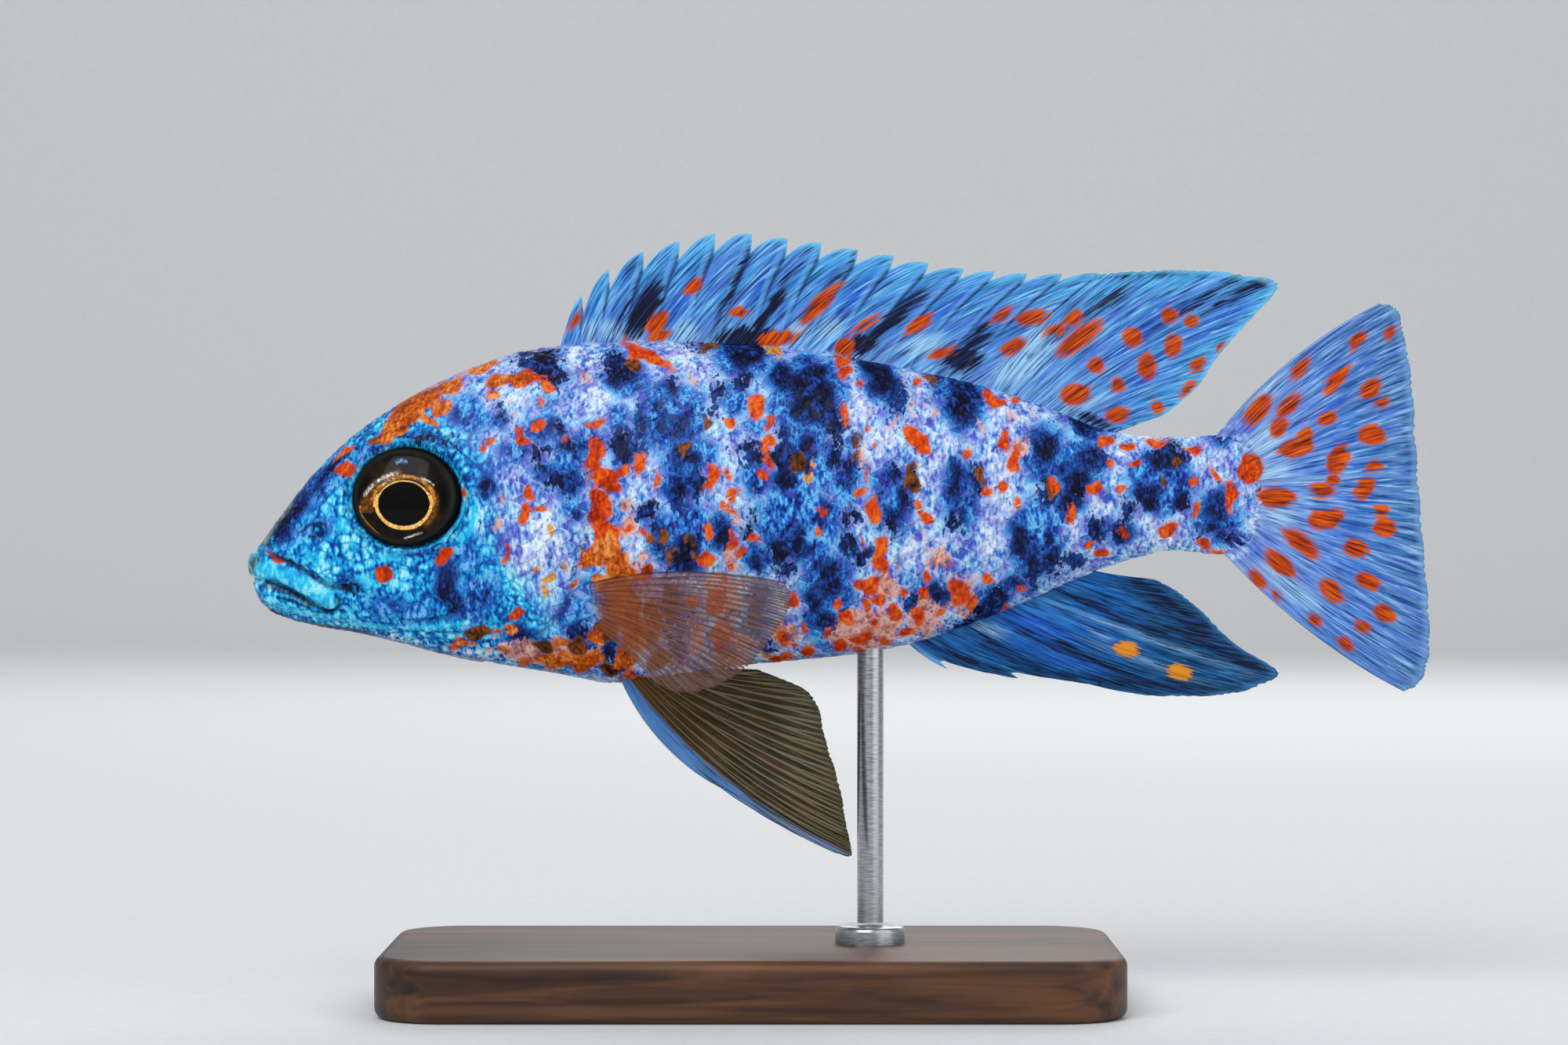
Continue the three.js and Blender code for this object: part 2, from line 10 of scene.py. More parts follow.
import bpy
import numpy as np
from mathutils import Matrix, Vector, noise


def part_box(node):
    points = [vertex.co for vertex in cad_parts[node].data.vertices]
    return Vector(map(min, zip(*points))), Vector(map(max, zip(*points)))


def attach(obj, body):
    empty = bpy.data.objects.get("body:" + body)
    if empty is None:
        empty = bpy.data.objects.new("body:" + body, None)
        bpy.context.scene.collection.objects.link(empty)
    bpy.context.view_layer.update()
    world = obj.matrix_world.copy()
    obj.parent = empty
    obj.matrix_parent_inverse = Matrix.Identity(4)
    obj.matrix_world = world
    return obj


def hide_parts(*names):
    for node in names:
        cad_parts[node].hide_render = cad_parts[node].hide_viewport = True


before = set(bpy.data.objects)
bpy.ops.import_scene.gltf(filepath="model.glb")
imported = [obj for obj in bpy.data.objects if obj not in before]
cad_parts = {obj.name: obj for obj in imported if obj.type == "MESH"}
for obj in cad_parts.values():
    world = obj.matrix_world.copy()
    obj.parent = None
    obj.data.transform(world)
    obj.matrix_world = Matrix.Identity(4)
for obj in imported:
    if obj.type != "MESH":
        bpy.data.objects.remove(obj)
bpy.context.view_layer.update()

MM = 0.001
SEED = 7

# How the fish is held over the stand, and how its tail end swings to its right
NOSE_TO_STAND = -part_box("upper_jaw")[0].x / MM
LOWEST_FIN_HEIGHT = 17.5
SWAY_START = 60
SWAY_LENGTH = 76
SWAY = 3.2

# Side view of the body without fins: [fore, up]
BACK = [
    [0, 33], [0.12, 33.7], [0.6, 34.6], [1.6, 35.7], [2.8, 37.4], [5, 40.4], [7.7, 43.7],
    [12.2, 48], [16.7, 51.2], [21.2, 53.7], [25.7, 55.7], [30.2, 57.2], [35.2, 58.2], [44, 58.7],
    [56, 58.5], [66, 57.4], [75, 55.8], [84.7, 53.6], [93, 50.8], [98, 48.8], [102, 48],
    [107, 47.7], [112, 48.1], [115, 47.2], [117, 45], [118, 41],
]
BELLY = [
    [0, 33], [0.12, 32.2], [0.4, 31], [0.8, 29.6], [1.5, 28.3], [2.8, 27.1], [7.7, 25.6],
    [12.2, 24.8], [16.7, 23.8], [21.2, 22.6], [25.7, 21.6], [29.3, 21.1], [34.7, 20.2], [42.4, 19],
    [48.2, 19.5], [56.8, 21.1], [67, 22], [75.2, 23.3], [84.2, 26.2], [93.2, 30], [99.5, 32.6],
    [106.7, 34.2], [112, 33.7], [115, 35], [117, 37.6], [118, 41],
]

# Height of the widest part of each cross-section, and half of the body's width there
FLANK = [[0, 33], [8, 35.2], [18, 38], [35, 39.5], [60, 40], [90, 41.4], [118, 41]]
HALF_WIDTH = [
    [0, 0], [0.12, 0.85], [0.6, 1.9], [1.6, 3], [4, 4.2], [8, 5.4], [12, 6.3], [18, 7.4],
    [25, 8.4], [33, 9.2], [41, 9.5], [50, 9.3], [60, 8.7], [70, 7.8], [80, 6.6], [90, 5.2],
    [98, 4.1], [105, 3], [109, 2.1], [112, 1.3], [115, 0.7], [117, 0.42], [118, 0],
]

# How narrow the back and the belly are drawn in, from 1 for an ellipse: [fore, power]
BACK_POWER = [[0, 0.9], [20, 0.92], [40, 1.15], [90, 1.2], [118, 1]]
BELLY_POWER = [[0, 0.8], [30, 0.8], [60, 0.88], [90, 1.1], [118, 1]]
BODY_LENGTH = 118

# The skin lies this far inside the solid body, and its rings crowd towards the snout:
# [share of the rings, fore]
SKIN_INSET = 0.35
SKIN_SEGMENTS = 320
SKIN_RINGS = 300
RING_PLACES = [[0, 0], [0.04, 0.9], [0.28, 12], [0.62, 42], [1, 118]]

# The camera's place in fish measures. Marks and lines of the head are given where the photograph
# shows them against the fish's middle plane, and the near side stands closer to the camera.
CAMERA = {"fore": 61.7, "up": 37.7, "away": 500}

# The opening of the eye with its radii, as the photograph shows it, and how far its middle is from
# the middle plane. The eyeball reaches a little past the opening, as a share of its radius. Its
# edge stands out from that middle, and its front and its back lie beyond the edge.
EYE = {"fore": 18.4, "up": 40.5, "wide": 6.15, "high": 5.6, "side": 4.7}
EYE_REACH = 1.03
EYE_EDGE, EYE_DOME, EYE_BACK = 1.62, 1.9, 4.1
# How far the eye's front stands from the middle plane, and how the eye is turned
EYE_BULGE = 8
EYE_FORWARD = math.radians(9)
EYE_UPWARD = math.radians(5)

# Lines of the head: [fore, up]
MOUTH_LINE = [
    [-3, 31.6], [0.7, 31.1], [2.3, 30.9], [4.2, 30.2], [5.7, 29.4], [7.2, 28.5], [8.4, 27.8],
    [9.6, 27.4], [11, 27.6],
]
LIP_FOLD = [
    [-3, 36], [1.9, 34.2], [4.2, 33.2], [6.2, 32.4], [7.6, 31.5], [9, 30.6], [10.4, 30.1],
    [12, 29.9],
]
LOWER_LIP = [[1.4, 29.4], [3.2, 28.7], [5.5, 28], [8.2, 27.4], [11, 27.1]]
CHIN_FOLD = [[1.6, 28], [3.4, 27.4], [5.8, 26.7], [8.3, 26.3], [12.5, 25.5], [16, 24.9]]
GILL_LINE = [
    [33, 57.7], [35, 52.4], [36.7, 47.3], [38.8, 43.7], [39.4, 40.1], [38.8, 36.5], [37.8, 33.6],
    [37.3, 31.1], [36.7, 28.8], [35.2, 26.6], [32.9, 24.6], [29.3, 22.5], [26.6, 21], [24, 18],
]
PREOPERCLE = [[27.6, 45.5], [26.6, 41], [26.8, 35], [26.2, 30.5], [23.6, 27.4], [18.5, 26.4]]
THROAT_FOLDS = [
    [[15.5, 24.9], [22, 24.6], [29, 24.7], [34.5, 26.8]],
    [[18, 24], [24, 23.7], [30, 23.9], [33, 24.7]],
    [[21, 23.2], [26, 22.8], [30, 23]],
]
BROW = [[12.6, 46.2], [16, 47.6], [20.5, 47.6], [24.4, 45]]
NOSTRIL = (8.1, 36.9)
FACE_PORES = [
    (11.4, 36.2), (12.4, 34.2), (14.6, 32.9), (17.4, 32.4), (20.4, 32.6), (23, 34.2), (25, 37.4),
    (24.7, 33), (24.2, 30.4), (22.4, 28.2), (19.4, 27.3), (4.6, 26.9), (7.6, 26.2), (11.2, 25.6),
]
MOUTH_CORNER = {"fore": 11.8, "up": 30, "wide": 0.8, "high": 0.6, "deep": 0.3}

# The crinkles of the bare skin and the upper lip, in millimetres, and where the head's folds and
# strokes of colour end
CRINKLE_SIZE = 1.1
CRINKLE_HEIGHT = 0.07
LIP_HEIGHT = 0.5
HEAD_END = 42

# Folds and rings of the head's skin, in millimetres. Each fold is a line, how far it stands out, or
# sinks in below 0, and its width. Each ring has its middle first, and its radius before its width.
HEAD_FOLDS = [
    (MOUTH_LINE, -0.55, 0.3), (LIP_FOLD, -0.35, 0.36), (LOWER_LIP, 0.35, 0.8),
    (CHIN_FOLD, -0.22, 0.35), (BROW, 0.3, 0.9), *((fold, -0.3, 0.28) for fold in THROAT_FOLDS),
]
HEAD_RINGS = [
    (NOSTRIL, 0.2, 0.85, 0.3), (NOSTRIL, -0.5, 0, 0.42),
    *((pore, -0.15, 0, 0.3) for pore in FACE_PORES),
]

# Where the bare skin of the face gives way to scales: [up, fore]
FACE_END = [[20, 38], [27, 35], [34, 29], [44, 28], [50, 24], [57, 20]]

# Strokes of colour on the face, each with its half width
# The bright strokes are partly cyan skin and partly painted highlights on the lips, brow and folds
CYAN_AND_HIGHLIGHT_STROKES = [
    ([[2.3, 32.4], [3.8, 31.9], [5.6, 31], [7.2, 30], [9.2, 28.6]], 0.95),
    ([[2.6, 29.5], [3.1, 28.7], [5, 27.8], [7.4, 27.2], [9.5, 26.8], [11.4, 27.1], [12.6, 27.9]], 0.3),
    ([[2.6, 29.6], [5, 29.2], [6.5, 28.6], [8.3, 27.7]], 0.2),
    ([[10.2, 37.6], [11.5, 36.8]], 0.7), ([[12.8, 31.3], [15.2, 30.5]], 0.6),
    ([[7.8, 36.9], [8.4, 36.9]], 0.26), ([[24.4, 35.4], [26, 37.6], [26.2, 40]], 0.6),
    ([[15.2, 33.6], [18, 33.8]], 0.6), ([[15.2, 31.4], [18.4, 30.2]], 0.6), ([[6.6, 34.2], [9, 33]], 0.6),
    ([[11.6, 26.3], [14, 25.9], [17, 25.6]], 0.32),
    ([[18, 25.6], [22, 25.7], [26, 26.4]], 0.3),
    ([[20.4, 35.2], [22.6, 36.2], [24.4, 38], [25.2, 40.2]], 0.18),
    ([[14.6, 46.7], [18, 47.2], [21.4, 46.6]], 0.2),
]
# The dark strokes are painted shade in the mouth, along the lip and chin folds, at the mouth's corner and
# round the nostril
PAINTED_SHADE_STROKES = [
    ([[2.6, 34], [4.8, 33.3], [6.8, 32.1], [8.6, 30.8], [10.4, 30.2], [11.8, 30]], 0.34),
    ([[1.8, 31], [3.4, 30.6], [5.2, 29.8], [7, 28.7], [8.4, 27.9], [9.8, 27.4]], 0.34),
    ([[9.4, 27.5], [10.4, 27.9], [10.6, 28.8], [10, 29.7]], 0.26),
    ([[2.3, 27.9], [4.8, 26.6], [8, 25.9], [11.8, 25.4], [14.8, 24.9]], 0.4),
    ([[3.2, 29.2], [5.4, 28.6], [7.4, 27.8]], 0.26),
    ([[11.3, 30], [12.3, 30.1]], 0.6),
    ([[6, 36.4], [7.3, 37.4], [8.7, 37.6], [9.4, 37.1]], 0.26),
    ([[6.9, 36.1], [8.2, 36.1], [9.3, 36.8]], 0.26),
]
GREY_STROKES = [
    ([[0.2, 31.6], [0.5, 32.8], [1.4, 33.9]], 0.8),
    ([[0.6, 30.1], [1, 28.9], [2, 27.8], [3.4, 27]], 0.6),
    ([[1.4, 30.6], [3.2, 30.2], [5, 29.5], [6.6, 28.7], [7.8, 28]], 0.34),
    ([[3.4, 26.4], [5.8, 25.6], [8, 25], [11, 24.6], [16, 23.8]], 0.5),
    ([[1.8, 35], [3.4, 37.6], [5.4, 40.2]], 0.4),
    ([[12.5, 24.8], [18.6, 23.2], [24.5, 21.8], [29.5, 20.9]], 0.8),
]
FACE_STROKES = [("bright", CYAN_AND_HIGHLIGHT_STROKES), ("grey", GREY_STROKES), ("dark", PAINTED_SHADE_STROKES)]
END_FADE = 0.08

# Rings of colour round the eye: colour, millimetres beyond the opening, half width and strength
# The first dark ring is painted shade where the skin meets the eyeball, the last a painted shadow round the
# eye
EYE_RINGS = [("dark", 0.1, 0.2, 1), ("bright", 0.42, 0.16, 0.8), ("dark", 0.9, 0.34, 0.55)]


def smooth_line(knots):
    """A smooth line through [position, value] pairs that never overshoots them."""
    at, value = np.array(knots, float).T
    slopes = np.diff(value) / np.diff(at)
    before = np.append(slopes[0], slopes)
    after = np.append(slopes, slopes[-1])
    product = before * after
    total = np.where(before + after == 0, 1, before + after)
    tangents = np.where(product > 0, 2 * product / total, 0)

    def value_at(x):
        x = np.clip(x, at[0], at[-1])
        i = np.clip(np.searchsorted(at, x) - 1, 0, len(at) - 2)
        width = at[i + 1] - at[i]
        t = (x - at[i]) / width
        rest = 1 - t
        ends = value[i] * (1 + 2 * t) * rest**2 + value[i + 1] * (3 - 2 * t) * t**2
        return ends + width * t * rest * (tangents[i] * rest - tangents[i + 1] * t)

    return value_at


back, belly, flank = smooth_line(BACK), smooth_line(BELLY), smooth_line(FLANK)
half_width = smooth_line(HALF_WIDTH)
back_power, belly_power = smooth_line(BACK_POWER), smooth_line(BELLY_POWER)


def curve_through(points):
    """A smooth curve through the points, as a function of the place along it from 0 to 1."""
    p = np.array(points, float)
    p = np.vstack([2 * p[0] - p[1], p, 2 * p[-1] - p[-2]])
    gap = np.linalg.norm(np.diff(p, axis=0), axis=1) ** 0.5

    def point_at(place):
        at = np.clip(place, 0, 1) * (len(p) - 3)
        i = np.minimum(at.astype(int), len(p) - 4)
        t = (at - i)[..., None]
        a, b, c = (gap[i + k][..., None] for k in range(3))
        before, start, end, after = (p[i + k] for k in range(4))
        leave = (start - before) / a - (end - before) / (a + b) + (end - start) / b
        arrive = (end - start) / b - (after - start) / (b + c) + (after - end) / c
        leave, arrive = leave * b, arrive * b
        bend = -3 * start + 3 * end - 2 * leave - arrive
        return start + leave * t + bend * t**2 + (2 * start - 2 * end + leave + arrive) * t**3

    return point_at


def placed(points):
    """Fish measures in millimetres to the part's frame in metres, with the swing of the tail."""
    fore, side, up = np.moveaxis(np.asarray(points, float), -1, 0)
    swing = SWAY * (np.maximum(fore - SWAY_START, 0) / SWAY_LENGTH) ** 2
    return np.stack([fore - NOSE_TO_STAND, side + swing, up + LOWEST_FIN_HEIGHT], -1) * MM


def smooth_step(low, high, x):
    """0 up to low and 1 from high on, or the other way round where high is below low."""
    t = np.clip((x - low) / (high - low), 0, 1)
    return t * t * (3 - 2 * t)


def between(knots, x):
    """The value at x on straight lines through [position, value] pairs."""
    return np.interp(x, *np.array(knots, float).T)


def bell(x):
    """1 at 0, falling to next to nothing at 2 on either side."""
    return np.exp(-(x**2))


def turned(x, y, angle):
    """x and y turned by an angle."""
    c, s = math.cos(angle), math.sin(angle)
    return x * c - y * s, x * s + y * c


def oval_share(oval, fore, up):
    """How far places in side view are from the middle of an oval, as a share of its radius."""
    return np.hypot((fore - oval["fore"]) / oval["wide"], (up - oval["up"]) / oval["high"])


def body_point(fore, turn):
    """The point of the body's outer surface."""
    down, out = np.cos(turn), np.sin(turn)
    middle = flank(fore)
    reach = np.where(down > 0, back(fore) - middle, middle - belly(fore))
    power = np.where(down > 0, back_power(fore), belly_power(fore))
    side = half_width(fore) * np.sign(out) * np.abs(out) ** power
    return np.stack([fore, side, middle + reach * down], -1)


def body_normal(fore, turn):
    """The outward direction of the body's surface, from points close by."""
    near, far = np.clip(fore - 0.15, 0.02, None), np.clip(fore + 0.15, None, BODY_LENGTH - 0.02)
    along = body_point(far, turn) - body_point(near, turn)
    round_it = body_point(fore, turn + 0.02) - body_point(fore, turn - 0.02)
    normal = np.cross(along, round_it)
    length = np.linalg.norm(normal, axis=-1, keepdims=True)
    return normal / np.maximum(length, 1e-9)


def distance_to(line, fore, up):
    """How far places in side view are from a smooth line, how far along it the nearest point is
    (0 to 1), and on which side they lie (positive to the left of its direction)."""
    place = np.linspace(0, 1, 25 * len(line))
    points = curve_through(line)(place)
    squared = (fore[:, None] - points[:, 0]) ** 2 + (up[:, None] - points[:, 1]) ** 2
    nearest = squared.argmin(axis=1)
    ahead = points[np.minimum(nearest + 1, len(points) - 1)] - points[np.maximum(nearest - 1, 0)]
    off = np.stack([fore, up], -1) - points[nearest]
    side = np.sign(ahead[:, 0] * off[:, 1] - ahead[:, 1] * off[:, 0])
    return np.sqrt(squared.min(axis=1)), place[nearest], side


def stroke(line, fore, up, width):
    """A soft ridge along a line, from 1 on the line to 0 away from it, fading at its ends."""
    distance, along, _ = distance_to(line, fore, up)
    return bell(distance / width) * smooth_step(0, END_FADE, np.minimum(along, 1 - along))


def strongest(strokes, fore, up):
    """The strength of several strokes, each a line with its half width."""
    return np.maximum.reduce([stroke(line, fore, up, width) for line, width in strokes])


def seen(points):
    """Fore and up of points where the camera sees them against the fish's middle plane."""
    nearer = CAMERA["away"] / (CAMERA["away"] - np.abs(points[..., 1]))
    fore = CAMERA["fore"] + (points[..., 0] - CAMERA["fore"]) * nearer
    return fore, CAMERA["up"] + (points[..., 2] - CAMERA["up"]) * nearer


def lip_share(fore, up):
    """1 on the middle of the upper lip, 0 at its edges and beyond."""
    lower, upper = between(MOUTH_LINE, fore), between(LIP_FOLD, fore)
    share = np.clip((up - lower) / np.maximum(upper - lower, 0.3), 0, 1)
    return np.sin(np.pi * share) * smooth_step(11.4, 9.4, fore)


def head_relief(fore, up):
    """How far the skin of the head stands out from the smooth body, in millimetres."""
    lip = lip_share(fore, up)
    relief = LIP_HEIGHT * lip**0.6
    for line, height, width in HEAD_FOLDS:
        relief += height * stroke(line, fore, up, width)
    for place, height, radius, width in HEAD_RINGS:
        distance = np.hypot(fore - place[0], up - place[1])
        relief += height * bell((distance - radius) / width)
    relief -= MOUTH_CORNER["deep"] * bell(oval_share(MOUTH_CORNER, fore, up))
    # The bare skin of the face is crinkled
    cells = [noise.voronoi((x / CRINKLE_SIZE, 0, z / CRINKLE_SIZE))[0] for x, z in zip(fore, up)]
    nearest, second = np.array([cell[:2] for cell in cells]).T
    bare = smooth_step(38, 28, fore) * (1 - lip) * smooth_step(1.5, 4, fore)
    relief += CRINKLE_HEIGHT * smooth_step(0, 0.35, second - nearest) * bare
    # The cheek and the gill cover end in edges, with a step down behind them
    distance, _, side = distance_to(PREOPERCLE, fore, up)
    fade = smooth_step(46.5, 43, up) * smooth_step(16, 20, fore)
    relief += fade * np.where(side < 0, 0.28, -0.22) * bell(distance / 0.8) * (distance > 0)
    distance, _, side = distance_to(GILL_LINE, fore, up)
    fade = smooth_step(51, 46.5, up) * smooth_step(20.5, 23.5, up)
    relief += fade * np.where(side < 0, 0.3 * bell(distance / 1.6), -0.5 * bell(distance / 0.9))
    # The eye's rim, the slope inside it and the pit under the eyeball
    share = oval_share(EYE, fore, up)
    relief += 0.3 * bell((share - 1.15) / 0.08) - 0.75 * smooth_step(1.17, 1.03, share)
    return relief - 3 * smooth_step(0.99, 0.9, share)


def skin_point(fore, turn, height=0.0):
    """A point at a height over the fish's skin, with the folds of the head."""
    base = body_point(fore, turn)
    relief = np.zeros(fore.shape)
    head = fore < HEAD_END
    relief[head] = head_relief(*seen(base[head]))
    relief *= smooth_step(0, 0.6, fore)
    return base + body_normal(fore, turn) * (height + relief - SKIN_INSET)[..., None]


# Markings. Each mark is (fore, up, length, width, lean). lean is the angle in degrees by which the
# length is turned up from level towards the tail, and is left out where it is 0.
ORANGE_MARKS = [
    # crown and nape
    (19.5, 51, 6.4, 2.8, 33), (23.6, 53.4, 3.4, 1.6, 30), (16.9, 48.4, 4.4, 2, 30),
    (21, 49.3, 2.2, 1, -15), (11.2, 45.8, 2.4, 0.9, 38), (11.5, 43.8, 2.8, 1.3, 28),
    (28.7, 53.8, 2.4, 1.5), (31.5, 54.2, 6, 1.6, 3), (34.6, 53.4, 2, 1.5, -20), (28.3, 52.5, 2, 1, -15),
    (33.8, 51.5, 1, 0.7), (31.5, 47.5, 2.6, 1, -52), (26.9, 46.4, 1, 1.3), (28, 47, 1.2, 0.8),
    (36.6, 47.5, 0.8, 1.4), (33.4, 49, 1.5, 1.3), (27.3, 55.6, 4, 1, 20),
    # cheek, gill cover and throat
    (32.5, 41.1, 1, 1.9), (31.9, 38.6, 1.5, 2.2), (33.4, 39.4, 1.8, 0.9), (29.8, 34.6, 0.8, 2.4),
    (22.6, 34, 1.8, 2), (15.5, 31.8, 2.2, 2), (31.2, 27.3, 2, 1.9), (30.2, 25.5, 0.9, 1.5, 20),
    (28.6, 25.3, 1, 0.6), (24.8, 23.8, 2.6, 0.9, 5), (25, 41.2, 0.7, 1.1), (3.3, 33.85, 2.4, 0.6, -25),
    (34.6, 22, 3, 1.4, -8), (37, 21.7, 3, 1.8, -6), (39.9, 22, 2.2, 1.6), (36.4, 24, 1.8, 1.2),
    (29.6, 23, 1.6, 0.8), (32, 21.8, 2, 0.8, -10),
    # back and upper side of the front trunk
    (45.8, 56.9, 6.6, 1.5, -26), (47, 59.2, 2.4, 1.4, 30), (39.9, 49, 2.6, 1, 25),
    (36.5, 47.2, 0.8, 1.2), (40, 45.3, 2, 4.6), (41.2, 43, 3.6, 2), (42, 41.6, 1.6, 1.6),
    (40.5, 39.6, 2.5, 4.6), (45.2, 44.4, 1.4, 2.4), (47.1, 42.4, 1, 2), (53.4, 42.8, 1.3, 4),
    (55.1, 43.2, 1.2, 1.4), (52.7, 42, 1.2, 1.2), (43.3, 43.5, 1.2, 1.4), (55.4, 49.4, 1.2, 1.2),
    (58.4, 51, 2.2, 3), (60, 49.2, 1.2, 1.6), (60, 47.3, 1.1, 1.4), (59.4, 45.5, 1, 1.8),
    (60.3, 44.6, 1.3, 1.2), (59.2, 43.3, 1.3, 1.3), (55.8, 41, 1.2, 2), (54.6, 39.5, 1, 1.2),
    (55.6, 39, 1, 1),
    # behind the gill cover and round the pectoral fin
    (41.3, 35.8, 6.4, 2.8, -76), (42.8, 32.4, 5, 3, -62), (39.1, 33, 2.4, 1.2, 35),
    (39.4, 33.7, 2.4, 1.5, 30), (41.4, 34.4, 2.6, 1.8), (43.6, 31.4, 2.4, 2, -60),
    (37.6, 30.6, 2, 0.9, 60), (40.8, 30.6, 1.8, 2.4), (55.4, 33, 1, 1.8), (22.5, 50.9, 2.6, 1.4, 30),
    (40.1, 34, 1.8, 2), (70.4, 30.4, 1.2, 1.8), (43.4, 28.2, 5.4, 3.8, -70), (44.6, 24.6, 3, 3.4, -40),
    (53.8, 28.6, 2.2, 3.6), (54.6, 24.4, 2.4, 4), (45.9, 31.8, 1.8, 1.8), (42.5, 36.7, 1, 1.6),
    (43.9, 36.8, 0.9, 1.2), (45.6, 36.8, 0.9, 1.2), (53, 36.9, 0.9, 2.4), (52.8, 33.4, 1.8, 2.4),
    (55.8, 35.8, 1.2, 2), (56.7, 34.3, 1.1, 1.4), (58.3, 35.9, 1.2, 1.6), (38.3, 21.7, 2.4, 2.2),
    (40.3, 24.5, 2.2, 2), (43.5, 22.2, 2.6, 3), (44.5, 19.8, 3, 1.4), (61.7, 24.3, 1.2, 1.8),
    (63, 23.6, 1, 1.1), (64, 25.5, 1, 1.6), (62.7, 28.7, 1.3, 2), (51, 28.4, 1.4, 1.6),
    # middle of the trunk
    (68.2, 56.8, 2, 3), (68.7, 54.8, 1.4, 1.4), (68.6, 50, 1, 2.8), (71.3, 43.3, 0.7, 2.5),
    (70.3, 41.3, 1.1, 1.4), (72, 39.2, 1.5, 3.4), (66.1, 38.7, 1.1, 1.8), (77.3, 46.9, 4.6, 2.1, -50),
    (77.3, 39.2, 1.2, 2.2), (78, 38.1, 1.4, 1.4), (82.6, 45.5, 1.3, 1.2), (77, 53.6, 1.2, 1.3),
    (70.5, 53.4, 0.9, 1), (71.3, 48.5, 0.8, 1), (72.2, 46.6, 0.8, 1), (72.8, 33.9, 1.8, 4.3),
    (71.6, 30.6, 2.4, 2.2), (71, 28.5, 1.3, 1.6), (68.6, 26.8, 2, 1.7), (68, 28.5, 1.1, 1.3),
    (70.6, 24.5, 2.2, 1.5, 20), (74.4, 27.4, 1.5, 1.9), (77.2, 27, 1.4, 2), (78, 31.6, 1.2, 1.4),
    (72.2, 26, 1.1, 1), (66.6, 25.2, 1, 1.2), (75.3, 29.9, 0.9, 1.1), (81.8, 29.6, 2.2, 3.4),
    (83.3, 28.7, 1.2, 1.8), (65.9, 36.7, 1, 1.6), (70.7, 35.3, 1, 1.6), (67.9, 23.6, 1.7, 1, 10),
    (73.4, 24, 1.5, 1.3, 8), (75.9, 25, 1.6, 1.2, 15), (70.4, 22.9, 1.6, 0.8, 5), (61.4, 22, 2.4, 1.2),
    (64.6, 23, 1.6, 1.4), (79.8, 27.4, 1.6, 1.4, 15), (72.6, 28.9, 1.4, 1.6), (77.9, 29.4, 1.2, 1.4),
    # rear of the trunk
    (85.3, 52, 1.4, 2.2), (86.4, 51.6, 1.4, 1), (87.7, 52.7, 1.2, 0.9), (88.5, 51.5, 1.1, 1.3),
    (87.1, 47.2, 1.4, 2.4), (88.2, 44.8, 1.5, 3), (86.7, 41.6, 1, 1.6), (84.8, 41.3, 0.9, 1.4),
    (88.4, 40, 1, 1.4), (92.7, 42, 1, 1.8), (93.6, 52.2, 1.6, 1.2), (84.9, 31.2, 1, 1.5),
    (88.7, 29.9, 1.4, 1, 20), (87.2, 28, 1.2, 0.9, 20),
    # tail stalk
    (98.8, 46.9, 1.8, 1.4, -20), (101.2, 46.6, 1.5, 1.1), (104.3, 46.9, 2.8, 1.1),
    (108.7, 46.1, 1.8, 1, -10), (102.4, 44.6, 1.2, 1.2), (99, 44.4, 1, 1.3), (97.5, 41.6, 1.6, 1.8),
    (100.2, 41.6, 1.3, 1.3), (108.7, 42.3, 1.2, 1.4), (111.3, 43.2, 2.2, 1, -43),
    (113.1, 40.6, 1.4, 3.4), (115.4, 44, 3, 3.4), (118.4, 40.6, 4.5, 2.5), (106, 36.8, 2, 1.8),
    (94.7, 38.6, 1.3, 2.2), (96.8, 35.3, 1.3, 1.3), (98.2, 34.1, 1.3, 1), (110.2, 35.2, 1.8, 1.1, -20),
    (111.8, 34, 2.4, 1, -35), (100.8, 36.6, 0.9, 1.2), (109, 39.2, 1, 1.4),
]
# Where the orange is rusty: crown, root of the pectoral fin and throat
RUST_PATCHES = [(23, 51.5, 26, 9, 30), (41.8, 31.5, 9, 9.6), (35, 23.4, 30, 7, -8)]
# Orange that shows through darker skin
BROWN_MARKS = [
    (53, 57.9, 2.2, 1.2), (50.3, 46.3, 1.2, 1.8), (52.9, 48.9, 1.4, 1.4), (63.3, 44.6, 2.1, 2.4),
    (47.7, 36, 1.2, 2), (48.7, 33.7, 1.2, 2.2), (51, 35.7, 1, 1.4), (51.7, 34, 1, 1.6),
    (70, 46.4, 1.3, 3.8), (76.4, 42.8, 1.6, 4.4), (79.8, 57.2, 2.8, 1.1, 20), (82.7, 55.6, 2, 1.4, 20),
    (74.8, 33.2, 1, 1.8), (84.3, 43, 1, 2), (105.4, 42.2, 1.2, 1.6), (106.7, 44.5, 1.2, 1.4),
    (15.4, 47.4, 3, 1.2, 36), (46.2, 35.8, 1.3, 1.8), (92.3, 41.6, 1.4, 2), (44.4, 56, 1.6, 1.8),
    (78.3, 54.2, 2.4, 1.2, -35), (26.5, 25, 3, 1.6), (46.6, 26, 2, 7), (41.2, 25.6, 3, 3, -40),
    (34, 23.6, 3, 1.6, -8), (38, 23.6, 2.4, 2), (42, 20.8, 3, 1.4), (47.4, 21.8, 2.6, 2.4),
]
